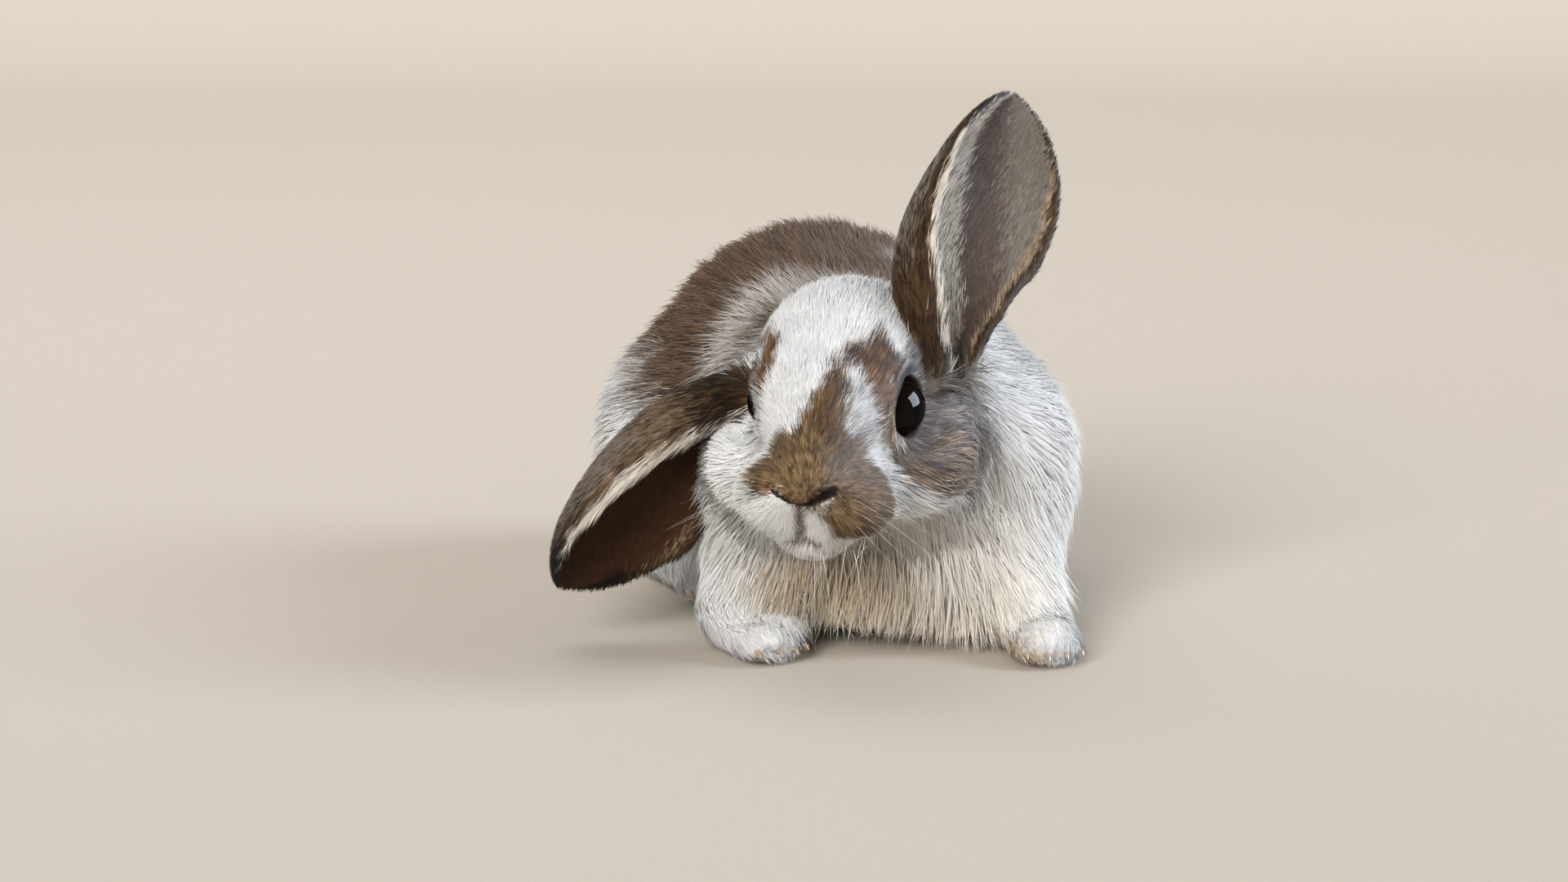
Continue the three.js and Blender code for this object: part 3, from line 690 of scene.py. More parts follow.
LIE = [
    ("body", (0, -20, 90), (0, 1, 0.05), 26), ("body", (0, 25, 92), (0, 1, -0.15), 26),
    ("body", (0, 58, 70), (0, 0.6, -0.8), 22), ("body", (0, 66, 40), (0, 0.1, -1), 22),
    ("body", (0, 0, 0), (0, 1, 0), 24), ("body", (0, -40, 4), (0, 0.8, -0.4), 20),
    ("body", (16, -68, 22), (0.15, 0.1, -1), 18), ("body", (-16, -68, 22), (-0.15, 0.1, -1), 18),
    ("body", (0, -70, 8), (0, 0.2, -1), 16), ("body", (0, -62, 45), (0, -0.5, -0.9), 14),
    ("head", (0, -35, 0), (0, 0.5, 0.85), 5), ("head", (0, -24, 12), (0, 0.85, 0.5), 8),
    ("head", (0, -5, 20), (0, 0.9, 0.4), 12), ("head", (0, 12, 28), (0, 1, 0.1), 12),
    ("head", (0, 30, 18), (0, 0.8, -0.6), 12), ("head", (-2, -34, -16), (0, 0.1, -1), 5),
    ("head", (0, -29, -26), (0, 0.4, -0.9), 8), ("head", (0, -10, -28), (0, 0.9, -0.4), 12),
    ("tail", (0, 4, 16), (0, 0.3, 1), 14), ("tail", (0, 12, 4), (0, 0.6, 0.8), 10),
]
for s in (1, -1):
    LIE += [
        ("body", (44 * s, 0, 52), (0.05 * s, 0.85, -0.5), 24), ("body", (48 * s, 32, 40), (0, 0.6, -0.8), 22),
        ("body", (44 * s, -30, 44), (0.2 * s, 0.5, -0.85), 20),
        ("body", (40 * s, -46, 20), (0.35 * s, 0.1, -0.9), 16),
        ("body", (50 * s, 10, 14), (0.1 * s, 0.2, -1), 18), ("body", (24 * s, -44, 66), (0.5 * s, 0.6, -0.6), 14),
        ("head", (12 * s, -11, 16), (0.35 * s, 0.8, 0.45), 7), ("head", (13 * s, -22, 4), (0.5 * s, 0.8, 0.1), 6),
        ("head", (12 * s, -33, -8), (0.75 * s, 0.5, -0.35), 6), ("head", (6 * s, -35, -14), (0.6 * s, 0.2, -0.8), 5),
        ("head", (16 * s, -24, -17), (0.7 * s, 0.5, -0.6), 8), ("head", (24 * s, -8, -14), (0.45 * s, 0.8, -0.4), 9),
        ("head", (28 * s, 8, -14), (0.35 * s, 0.8, -0.45), 10), ("head", (20 * s, -2, -26), (0.4 * s, 0.6, -0.75), 9),
        ("head", (24 * s, 6, 4), (0.15 * s, 0.95, -0.1), 8), ("head", (16 * s, 4, 18), (0.2 * s, 0.9, 0.3), 9),
        ("head", (7 * s, -34, 2), (0.45 * s, 0.45, 0.7), 4.5),
    ]
LIE += [  # on the right side of the face the hair sweeps out over the cheek
    ("head", (-14, -24, -4), (-0.95, 0.2, -0.35), 6), ("head", (-14, -27, -15), (-0.85, 0.1, -0.65), 7),
    ("head", (-16.5, -17, 2), (-0.95, 0.35, -0.25), 5), ("head", (-8, -31, -22), (-0.6, 0.0, -0.9), 6),
]


def nearest(cloud, points):
    """The number of the place in the cloud that is nearest to each point, and how far it is."""
    tree = kdtree.KDTree(len(cloud))
    for i, p in enumerate(cloud):
        tree.insert(p, i)
    tree.balance()
    found = np.array([tree.find(p)[1:] for p in points])
    return found[:, 0].astype(int), found[:, 1]


def ear_places(points):
    """For points near an ear: which, whether on its back, shares along and across, the lie, and how surely on it."""
    rows, columns = EAR_ROWS + 1, EAR_COLUMNS + 1
    cloud = np.vstack([layer.reshape(-1, 3) for side in SIDES for layer in EAR_SHEETS[side][:2]])
    index, distance = nearest(cloud, points)
    which, cell = divmod(index, rows * columns)
    row, column = divmod(cell, columns)
    share = np.sin(np.pi / 2 * row / EAR_ROWS)
    across = column / EAR_COLUMNS * 2 - 1
    lie = np.where((which < 2)[:, None], EAR_SHEETS["left"][2][row], EAR_SHEETS["right"][2][row])
    on = ramp(distance, 1.6, 0.7) * ramp(share, 0.02, 0.10)
    return {"on": on, "left": which < 2, "back": which % 2 == 0, "share": share, "across": across, "lie": lie}


def around(points, name, at, reach):
    """1 at a place in a part's frame, and less the further a point is from it."""
    return np.exp(-(np.linalg.norm(points - FRAMES[name].world(at), axis=1) / reach) ** 2)[:, None]


def lie_of(points, normals, ears):
    """The way the coat lies at each root, along the skin."""
    way, weight = np.zeros_like(points), np.full((len(points), 1), 1e-9)
    for name, at, direction, reach in LIE:
        near = around(points, name, at, reach)
        way += near * FRAMES[name].aim(unit(direction))
        weight += near
    way = way / weight
    for frames, front in ((FOREPAWS, 20), (HIND_FEET, 40)):
        for frame_of in frames.values():
            local = frame_of.local(points)
            near = ramp(local[:, 2], 20, 10) * ramp(np.abs(local[:, 0]), 18, 11)
            near *= ramp(np.abs(local[:, 1]), front + 12, front)
            way = mix(way, frame_of.aim([0, -1, -0.35]), near[:, None])
    for side in SIDES:
        off = points - HEAD.world(on_side(EYE_AT, side))
        near = ramp(np.linalg.norm(off, axis=1), 15, 10)[:, None]
        way = mix(way, unit(off) + 0.5 * unit(way), near)
    way = mix(way, ears["lie"], ears["on"][:, None])
    way = way - (way * normals).sum(1)[:, None] * normals
    return unit(way)


# ------------------------------------------------------------
# Skin, roots and tufts.


def add_mesh(name, points, faces):
    """A smooth-shaded mesh object from points in millimetres and faces that all have the same number of corners."""
    faces = np.ascontiguousarray(faces, np.int32)
    mesh = bpy.data.meshes.new(name)
    mesh.vertices.add(len(points))
    mesh.vertices.foreach_set("co", (np.asarray(points) * MM).astype(np.float32).ravel())
    mesh.loops.add(faces.size)
    mesh.loops.foreach_set("vertex_index", faces.ravel())
    mesh.polygons.add(len(faces))
    mesh.polygons.foreach_set("loop_start", np.arange(0, faces.size, faces.shape[1], dtype=np.int32))
    mesh.polygons.foreach_set("use_smooth", np.ones(len(faces), bool))
    mesh.update(calc_edges=True)
    thing = bpy.data.objects.new(name, mesh)
    bpy.context.scene.collection.objects.link(thing)
    return thing


def paint(thing, colours):
    """A colour at each corner point of the mesh, in linear light, that the hair's material reads."""
    layer = thing.data.color_attributes.new("coat", "FLOAT_COLOR", "POINT")
    full = np.ones((len(colours), 4), np.float32)
    full[:, :3] = colours
    layer.data.foreach_set("color", full.ravel())


def unwrap(thing):
    """The unwrap that the coat's own patches are placed on."""
    thing.data.uv_layers.new(name="OFBake")
    bpy.context.view_layer.objects.active = thing
    thing.select_set(True)
    bpy.ops.object.mode_set(mode="EDIT")
    bpy.ops.mesh.select_all(action="SELECT")
    bpy.ops.uv.smart_project(angle_limit=radians(66), island_margin=0.006)
    bpy.ops.object.mode_set(mode="OBJECT")
    thing.select_set(False)


skin_points, skin_triangles = surface_of(skin_field, adaptivity=0.02)
skin_triangles = skin_triangles[:, ::-1]  # its faces look outwards
skin = add_mesh("skin", skin_points, skin_triangles)
unwrap(skin)

CHEST_LENGTH = 18  # of the long coat that hangs between the forelegs
THINNING = 1.0

# Places where the coat stands out in a fluff: where, how far it carries, how much longer it is and how far it rises.
FLUFF = [
    ("head", (-14, -29, -9), 7, 4.5, 2.6), ("head", (-15, -26, -17), 8, 6.5, 3.6),
    ("head", (-16, -20, -2), 7, 4.5, 3.6), ("head", (-16.5, -15.5, 8), 4.5, 2.2, 2.4),
    ("head", (-20, -16, -10), 8, 5.0, 3.0), ("head", (-8, -30, -22), 7, 4.0, 1.6),
    ("body", (-54, 14, 58), 20, 3.0, 3.5), ("head", (15, -26, -18), 8, 6.0, 3.0),
    ("head", (20, -14, -17), 9, 8.0, 3.4), ("head", (28, 0, -20), 9, 7.0, 3.4),
    ("head", (32, 8, -8), 9, 4.5, 2.5), ("head", (-24, -4, -20), 8, 4.0, 2.0),
    ("head", (2, -28, -26), 8, 3.0, 1.0),
]


def fluff(points):
    """Extra length and rise of the coat, in millimetres."""
    extra = np.zeros((len(points), 2))
    for name, at, reach, longer, higher in FLUFF:
        extra = np.maximum(extra, around(points, name, at, reach) * [longer, higher])
    return extra.T


def hair_length(points, ears):
    """Length of the coat at points on the skin, in millimetres."""
    total, weight = np.zeros(len(points)), np.full(len(points), 1e-9)
    for node, (_, _, length) in FLESH.items():
        near = influence(sampled(NODE_FIELDS[node], points)) + 1e-6
        total += near * length
        weight += near
    length = total / weight
    x, y, z = HEAD.local(points).T
    # shortest on the nose, longer over the crown, and longest on the cheeks and under the chin
    face = 2.3 + 1.6 * ramp(y, -35, -22) + 2.6 * ramp(y, -14, 14) + 3.6 * ramp(z, -4, -18) * ramp(y, -30, -10)
    face += 2.5 * ramp(z, -16, -24) + 2.0 * ramp(z, -4, -12) * ramp(np.abs(x), 14, 22) * ramp(y, -24, -12)
    of_head = ramp(sampled(NODE_FIELDS["head"], points), 2.5, 0.5) * ramp(sampled(NODE_FIELDS["neck"], points), -2, 3)
    length = mix(length, face, of_head)
    for side in SIDES:
        off = np.linalg.norm(points - HEAD.world(on_side(EYE_AT, side)), axis=1)
        length *= mix(0.5, 1, ramp(off, 8.5, 15))
    length += fluff(points)[0]
    slits = np.min([to_line(HEAD.local(points), line)[0] for line in GROOVES.values()], 0)
    length *= mix(0.35, 1, ramp(slits, 1, 5))
    chest = ramp(BODY.local(points)[:, 1], -50, -60) * ramp(z, -12, -30)
    length = mix(length, CHEST_LENGTH, chest * (1 - of_head) * ramp(length, 6, 12))
    back = mix(2.4, 3.6, ramp(ears["share"], 0.4, 0.05)) * mix(1, 0.55, ramp(ears["share"], 0.8, 0.97))
    own = np.where(ears["back"], back, mix(2.4, 1.4, ramp(ears["share"], 0.8, 0.97)))
    own += 2.6 * ramp(1 + ears["across"], 0.3, 0.06) * ramp(ears["share"], 0.92, 0.7) * ramp(ears["share"], 0.04, 0.2)
    return mix(length, own, ears["on"])


def bare(points):
    """True where no hair grows: between the lids, in the nostrils and along the mouth."""
    local = HEAD.local(points)
    none = np.zeros(len(points), bool)
    for side in SIDES:
        reach, beyond = eye_opening(local, side)
        none |= (beyond < 0.5) & (reach < EYE_RADIUS + 2.5)
    for name, (width, _) in GROOVE_WIDTHS.items():
        none |= to_line(local, GROOVES[name])[0] < width + 0.2
    return none | (points[:, 2] < 0.6)


def hair_width(length, ears):
    """Thickness of a tuft, in millimetres."""
    return mix(0.175 + 0.008 * length, 0.28, ears["on"])


def grow(count):
    """Roots over the skin, the shorter and finer the hair the closer they stand."""
    corners = skin_points[skin_triangles]
    middle = corners.mean(1)
    cross = np.cross(corners[:, 1] - corners[:, 0], corners[:, 2] - corners[:, 0])
    area = np.linalg.norm(cross, axis=1) / 2
    ears = ear_places(middle)
    length = hair_length(middle, ears)
    width = hair_width(length, ears)
    on_ear = mix(7.0, 2.6, ramp(ears["share"], 0.08, 0.3))
    open_to_view = np.minimum(ramp(unit(cross)[:, 2], -0.97, -0.6) + (middle[:, 2] > 25), 1)
    layers = mix(mix(7.0, 14.0, ramp(length, 7, 11)), on_ear, ears["on"]) * mix(0.35, 1, open_to_view)
    crowd = area * layers / (length * width * 0.5)
    chosen = rng.choice(len(area), int(count * THINNING), p=crowd / crowd.sum())
    a, b = rng.random((2, len(chosen), 1))
    flip = a + b > 1
    a, b = np.where(flip, 1 - a, a), np.where(flip, 1 - b, b)
    spot = np.concatenate([1 - a - b, a, b], 1)
    root = (corners[chosen] * spot[..., None]).sum(1)
    uv = np.empty(len(skin.data.loops) * 2, np.float32)
    skin.data.uv_layers["OFBake"].data.foreach_get("uv", uv)
    uv = (uv.reshape(-1, 3, 2)[chosen] * spot[..., None]).sum(1)
    keep = ~bare(root)
    return root[keep], uv[keep]


TUFTS = 264_000
CLUMP = 9  # hairs to each lock
SHORT = 6.0  # hairs shorter than this are straight spikes of four faces
GUARD, UNDER = (0.07, 1.25), (0.55, 0.62)  # of the guard hairs and the under hairs: their share, and their length
DARK = (0.7, 0.45, 0.35)  # how much of its colour a dark hair keeps at its root, middle and tip
FLOOR_GAP = 0.3  # hairs stay this far above the floor
PATCH = 0.0013  # half the width of a tuft's place on the unwrap
TILT = (0.22, 0.12, 0.05)  # how far a tuft's shading leans across it, along it, and at random

# Faces of one hair: three-sided, closed at the root and pointed at the tip; the long ones bend once on the way.
SPIKE = np.array([(0, 1, 2), (1, 0, 3), (2, 1, 3), (0, 2, 3)])
LOCK = np.array([(0, 1, 2), *[f for a, b in ((0, 1), (1, 2), (2, 0)) for f in
                              ((b, a, 3 + a), (b, 3 + a, 3 + b), (3 + b, 3 + a, 6))]])
CORNERS = np.array([(-1, -0.35), (1, -0.35), (0, 0.7)]) / 2  # across the hair, and up from the skin


def leaders_of(root):
    """For each hair, the leading hair nearest to it: the hairs of one leader are a lock."""
    leaders = np.arange(0, len(root), CLUMP)
    return leaders[nearest(root[leaders], root)[0]]


def clumped(near, root, normal, mid, tip, pull):
    """Hairs drawn towards the tip of their leading hair, so that the coat falls in fine locks."""
    offset = root - root[near]
    alike = (normal * normal[near]).sum(1) > 0.6  # the two roots face nearly the same way
    share = (pull * alike)[:, None]
    return (mix(mid, mid[near] + offset * 0.7, share * 0.5), mix(tip, tip[near] + offset * 0.35, share))


def hair_colours(root, ears, full, leader):
    """Three colours for each hair, at its root, middle and tip; hairs of one lock are mostly of one tone."""
    count, on_ear = len(root), ears["on"]
    picks = np.cumsum(hair_shares(root, patch_scatter(root), ears), 1)
    kinds = (picks / picks[:, -1:] > rng.random((count, 1))).argmax(1)
    table = np.array([[linear(c) for c in HAIRS[name][:3]] for name in HAIR_NAMES])
    shares = hair_shares(root, 0, ears)
    blended = np.einsum("ij,jkl->ikl", shares / shares.sum(1, keepdims=True), table)
    colours = mix(table[kinds], blended, mix(0.15, 0.6, ramp(full, 5, 11))[:, None, None])
    chance = np.array([HAIRS[name][3] for name in HAIR_NAMES])[kinds]
    dark = mix(rng.random(count), rng.random(count)[leader], rng.random(count) < 0.7) < chance
    pale = np.array([linear(HAIRS[name][1]).mean() for name in HAIR_NAMES])[kinds]
    spread = np.where(on_ear > 0.5, 0.10, mix(0.34, 0.04, ramp(pale, 0.15, 0.6)))
    spread = spread * mix(1, 0.5, ramp(full, 6, 11))
    tone = 0.7 * rng.normal(size=count) + 0.9 * rng.normal(size=count)[leader]
    colours = colours * (1 + spread * tone).clip(0.4, 1.8)[:, None, None]
    colours[dark] *= np.array(DARK)[None, :, None]
    return colours


def coat():
    """Every hair of the coat: its points, colours, normal, width, place on the unwrap and part."""
    root, uv = grow(TUFTS)
    count = len(root)
    ears = ear_places(root)
    on_ear = ears["on"]
    normal = slope(skin_field, root)
    way = lie_of(root, normal, ears)
    aside = np.cross(normal, way)
    stray = mix(0.16, 0.06, on_ear)[:, None]
    way = unit(way + aside * (0.20 * waves(root, 9, seed=3)[:, None] + rng.normal(size=(count, 1))) * stray
               + aside * 0.12 * waves(root, 3.2, seed=4)[:, None])
    full = hair_length(root, ears)
    guard = rng.random(count) < GUARD[0] * (1 - on_ear)
    under = (rng.random(count) < UNDER[0]) & (full > SHORT) & ~guard
    length = full * np.where(under, UNDER[1], 1) * rng.uniform(0.72, 1.12, count)
    length = length * (1 + 0.10 * waves(root, 12, seed=5)) * np.where(guard, GUARD[1], 1)
    depth = mix(sampled(depth_field, root), 0.7, on_ear)
    stands, lies = rng.uniform(1.0, 1.25, count), rng.uniform(0.55, 1.0, count) * np.where(under, 0.8, 1)
    rise = depth * np.where(guard, stands, lies)
    rise += fluff(root)[1] * (1 - on_ear) * rng.uniform(0.6, 1.1, count)
    rise = np.minimum(rise, 0.8 * length)
    run = np.sqrt(np.maximum(length**2 - rise**2, 0))[:, None]
    mid = root + way * run * 0.45 + normal * (rise * 0.72)[:, None]
    tip = root + way * run + normal * rise[:, None]
    free = (1 - on_ear) * ramp(sampled(outline, root), 0.5, -0.2)
    for _ in range(2):  # lets each one rise just so far that its tip meets the coat's outline
        for p, share in ((tip, 1), (mid, 0.72)):
            p += normal * (free * np.clip(share * rise - depth - sampled(outline, p), -4, 5) * 0.8)[:, None]
    pull = mix(0.32, 0.44, ramp(full, 5, 12)) * (1 - 0.6 * on_ear) * rng.uniform(0.4, 1.2, count)
    leader = leaders_of(root)
    mid, tip = clumped(leader, root, normal, mid, tip, pull)
    for p in (mid, tip):
        p[:, 2] = np.maximum(p[:, 2], FLOOR_GAP)
        for side in SIDES:  # no hair reaches over the open eye
            reach, beyond = eye_opening(HEAD.local(p), side)
            inside = (beyond < 0.2) & (reach < EYE_RADIUS + 4)
            p[inside] = (root + (p - root) * 0.35)[inside]
    colours = hair_colours(root, ears, full, leader)
    width = hair_width(full, ears) * rng.uniform(0.75, 1.2, count) * np.where(guard, 0.6, 1)
    label = np.array([sampled(NODE_FIELDS[node], root) for node in FLESH]).argmin(0)
    return {"root": root, "mid": mid, "tip": tip, "normal": normal, "width": width, "colours": colours, "uv": uv,
            "bent": (full > SHORT) & ~under, "label": label, "on_ear": on_ear, "left_ear": ears["left"]}


def rings(at, way, normal, width):
    """Three corners round each hair at a place along it, and the way across it."""
    side = unit(np.cross(way, normal))
    up = np.cross(side, way)
    ring = side[:, None] * CORNERS[None, :, :1] + up[:, None] * CORNERS[None, :, 1:]
    return at[:, None] + ring * width[:, None, None], side


def add_tufts(name, hairs, chosen, long):
    """One joined mesh of the chosen hairs."""
    h = {k: v[chosen] for k, v in hairs.items()}
    count = len(h["root"])
    if long:
        base, side = rings(h["root"], unit(h["mid"] - h["root"]), h["normal"], h["width"] * 0.8)
        bend, side = rings(h["mid"], unit(h["tip"] - h["root"]), h["normal"], h["width"])
        co = np.concatenate([base, bend, h["tip"][:, None]], 1)
        shade, faces = h["colours"][:, [0, 0, 0, 1, 1, 1, 2]], LOCK
        across, along = np.array([-1, 1, 0, -1, 1, 0, 0]), np.array([-1, -1, -1, 0, 0, 0, 1])
    else:
        base, side = rings(h["root"], unit(h["tip"] - h["root"]), h["normal"], h["width"])
        co = np.concatenate([base, h["tip"][:, None]], 1)
        shade, faces = mix(h["colours"][:, [0, 0, 0, 2]], h["colours"][:, [1, 1, 1, 2]], 0.6), SPIKE
        across, along = np.array([-1, 1, 0, 0]), np.array([-1, -1, -1, 1])
    corners = co.shape[1]
    face_index = (np.arange(count)[:, None, None] * corners + faces[None]).reshape(-1, 3)
    piece = add_mesh(name, co.reshape(-1, 3), face_index)
    paint(piece, shade.reshape(-1, 3))
    tilt = side[:, None] * across[None, :, None] * TILT[0] + unit(h["tip"] - h["root"])[:, None] * TILT[1]
    tilt = tilt + rng.normal(size=(count, 1, 3)) * TILT[2]
    normals = unit(h["normal"][:, None] + tilt).reshape(-1, 3)
    piece.data.normals_split_custom_set_from_vertices(normals.astype(np.float32))
    place = (h["uv"][:, None] + np.stack([across, along], 1)[None] * PATCH).reshape(-1, 2)[face_index.ravel()]
    layer = piece.data.uv_layers.new(name="OFBake")
    layer.data.foreach_set("uv", np.clip(place, 0, 1).astype(np.float32).ravel())
    return piece


def part_names(hairs):
    """The name of the piece of coat that each hair belongs to."""
    head_at, body_at = HEAD.local(hairs["root"]), BODY.local(hairs["root"])
    names = list(FLESH)

    def grows_on(*nodes):
        return np.isin(hairs["label"], [names.index(node) for node in nodes])

    part = np.where(body_at[:, 0] > 0, "coat_back_left", "coat_back_right").astype(object)
    part[grows_on("neck")] = "coat_neck"
    part[grows_on("trunk") & (body_at[:, 1] < -44)] = "coat_chest"
    for side in SIDES:
        part[grows_on("foreleg_" + side, "forepaw_" + side)] = "coat_foreleg_" + side
        part[grows_on("thigh_" + side, "hind_foot_" + side)] = "coat_thigh_" + side
    part[grows_on("tail")] = "coat_tail"
    part[grows_on("head")] = "coat_crown"
    part[grows_on("head") & (head_at[:, 1] < 4)] = "coat_cheeks"
    part[grows_on("head") & (head_at[:, 1] < 4) & (head_at[:, 2] > 1)] = "coat_brow"
    part[grows_on("head") & (head_at[:, 1] < -22)] = "coat_muzzle"
    part[(hairs["on_ear"] > 0.5) & hairs["left_ear"]] = "coat_ear_left"
    part[(hairs["on_ear"] > 0.5) & ~hairs["left_ear"]] = "coat_ear_right"
    return part


hairs = coat()
part = part_names(hairs)
coat_pieces = []
for name in sorted(set(part)):
    for long, ending in ((True, "_long"), (False, "_short")):
        chosen = np.flatnonzero((part == name) & (hairs["bent"] == long))
        if len(chosen):
            coat_pieces.append(add_tufts(name + ending, hairs, chosen, long))

# ------------------------------------------------------------
# Materials.


def new_material(name, **settings):
    """A material, its tree and its surface; each setting names one of the surface's own sockets."""
    material = bpy.data.materials.new(name)
    material.use_nodes = True
    surface = material.node_tree.nodes["Principled BSDF"]
    for socket, value in settings.items():
        surface.inputs[socket].default_value = value
    return material, material.node_tree, surface


def add_node(tree, kind, links=(), **settings):
    """A node of the kind with its settings; a setting that names a socket sets it, and links join sockets to it."""
    node = tree.nodes.new(kind)
    for key, value in settings.items():
        if key in node.inputs:
            node.inputs[key].default_value = value
        else:
            setattr(node, key, value)
    for source, target in links:
        tree.links.new(source, node.inputs[target])
    return node


def mottle(tree, size, low, high, detail=3.0):
    """Soft noise with patches of the size given in millimetres, running from low to high."""
    place = add_node(tree, "ShaderNodeTexCoord")
    noise = add_node(tree, "ShaderNodeTexNoise", [(place.outputs["Object"], "Vector")],
                     Scale=1 / (size * MM), Detail=detail)
    span = {"From Min": 0.3, "From Max": 0.7, "To Min": low, "To Max": high}
    return add_node(tree, "ShaderNodeMapRange", [(noise.outputs["Fac"], "Value")], **span).outputs["Result"]


def shaded(tree, surface, colour, value):
    """The colour, made lighter and darker by the value, as the surface's own."""
    shade = add_node(tree, "ShaderNodeHueSaturation", [(colour, "Color"), (value, "Value")])
    tree.links.new(shade.outputs["Color"], surface.inputs["Base Color"])


def bump(tree, surface, size, depth, strength=0.5):
    """Relief with grains of the size given and a depth, both in millimetres."""
    relief = add_node(tree, "ShaderNodeBump", [(mottle(tree, size, 0, 1), "Height")],
                      Strength=strength, Distance=depth * MM)
    tree.links.new(relief.outputs["Normal"], surface.inputs["Normal"])


def painted(tree):
    """The colour painted on the mesh's points."""
    return add_node(tree, "ShaderNodeAttribute", attribute_name="coat").outputs["Color"]


def plain(tree, hex_colour):
    node = add_node(tree, "ShaderNodeRGB")
    node.outputs["Color"].default_value = (*linear(hex_colour), 1)
    return node.outputs["Color"]


# Rabbit fur, dry and clean: fine soft hairs that take their colour from the markings, dull, with a faint pale veil
# against the light. Grown in locks, so the eye sees patches a few millimetres wide, a little lighter or darker.
def fur_material():
    look = {"Specular IOR Level": 0.18, "Sheen Weight": 0.05, "Sheen Roughness": 0.5}
    material, tree, surface = new_material("soft_fur", **look)
    shaded(tree, surface, painted(tree), mottle(tree, 5, 0.93, 1.05))
    tree.links.new(mottle(tree, 2, 0.68, 0.82), surface.inputs["Roughness"])
    return material


# Skin under the coat: thin and matt, bare only in the nostrils, on the lips and round the eyes, and elsewhere under
# short down that lies flat. The down is its relief, so that where the tufts part the eye sees more fur, not a wall.
def skin_material():
    material, tree, surface = new_material("skin_with_down", Roughness=0.8, **{"Specular IOR Level": 0.15})
    shaded(tree, surface, painted(tree), mottle(tree, 0.6, 0.85, 1.08))
    bump(tree, surface, 0.4, 0.12)
    return material


FUR = fur_material()
for piece in coat_pieces:
    piece.data.materials.append(FUR)
    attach(piece, "root")


def skin_colours():
    """The markings again, for the skin between the tufts, and bare skin on the lids, nostrils and lips, with near black
    painted shade down the nostrils, the mouth and the philtrum.
    """
    shares = hair_shares(skin_points, patch_scatter(skin_points), ear_places(skin_points))
    colours = shares @ np.array([mix(linear(HAIRS[n][0]), linear(HAIRS[n][1]), 0.5) for n in HAIR_NAMES])
    local = HEAD.local(skin_points)
    for side in SIDES:
        reach, beyond = eye_opening(local, side)
        rim = ramp(beyond, 0.9, 0.4) * ramp(reach, 12, 10)
        colours = mix(colours, LID_SKIN, rim[:, None])
    # the lips' own colour, then near black painted shade along the middle of each groove
    for name, width, colour in (
        ("philtrum", 1.3, NOSE_SKIN), ("mouth", 2.0, NOSE_SKIN), ("nostril_left", 2.0, PAINTED_GROOVE_SHADE),
        ("nostril_right", 1.5, PAINTED_GROOVE_SHADE), ("mouth", 1.5, PAINTED_GROOVE_SHADE), ("philtrum", 0.8, PAINTED_GROOVE_SHADE),
    ):
        near = ramp(to_line(local, GROOVES[name])[0], width, width * 0.5)
        colours = mix(colours, colour, near[:, None])
    return colours


# the last one is painted shade, near black, for the depths of the nostrils, mouth and philtrum
LID_SKIN, NOSE_SKIN, PAINTED_GROOVE_SHADE = linear("3a2e29"), linear("7d6058"), linear("1d1210")
paint(skin, skin_colours())
skin.data.materials.append(skin_material())
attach(skin, "root")
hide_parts(*FLESH, "ear_left", "ear_right")

# ------------------------------------------------------------
# Eyes, claws and whiskers.

# A wet dark eye: near black iris and pupil under clear cornea and a film of tears, so the eye sees one small sharp
# light and hardly anything else in it.
def eye_material():
    look = {"Roughness": 0.4, "Specular IOR Level": 0.0, "Coat Weight": 0.15}
    material, tree, surface = new_material("wet_dark_eye", **look)
    shaded(tree, surface, painted(tree), mottle(tree, 0.5, 0.8, 1.2))
    tree.links.new(mottle(tree, 3, 0.02, 0.04), surface.inputs["Coat Roughness"])
    return material


EYE_WET = eye_material()


def add_eye(side):
    """The eyeball as a lathed shape whose clear front bulges, coloured from the pupil outwards."""
    at, axis = HEAD.world(on_side(EYE_AT, side)), HEAD.aim(on_side(EYE_AXIS, side))
    first = unit(np.cross(axis, [0, 0, 1]))
    second = np.cross(axis, first)
    rows, columns = 64, 96
    angle = np.linspace(0, np.pi, rows + 1)[:, None]
    turn = np.linspace(0, 2 * np.pi, columns, endpoint=False)[None]
    reach = EYE_RADIUS - 0.15 + 0.6 * ramp(np.degrees(angle), 55, 12)
    co = at + axis * (np.cos(angle) * reach)[..., None]
    co = co + first * (np.sin(angle) * np.cos(turn) * reach)[..., None]
    co = co + second * (np.sin(angle) * np.sin(turn) * reach)[..., None]
    index = np.arange((rows + 1) * columns).reshape(rows + 1, columns)
    faces = grid_quads(np.hstack([index, index[:, :1]]), flipped=True)
    eye = add_mesh("eyeball_" + side, co.reshape(-1, 3), faces)
    degrees_out = np.degrees(angle) + np.zeros_like(turn)
    streak = 1 + 0.25 * np.sin(turn * 37) * np.sin(turn * 23 + 1)
    pupil, iris, rim = linear("030303"), linear("0f0906"), linear("070504")
    shade = mix(pupil, iris * streak[..., None], ramp(degrees_out, 22, 30)[..., None])
    shade = mix(shade, rim, ramp(degrees_out, 44, 56)[..., None])
    paint(eye, shade.reshape(-1, 3))
    eye.data.materials.append(EYE_WET)
    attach(eye, "root")
    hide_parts("eye_" + side)


for side in SIDES:
    add_eye(side)


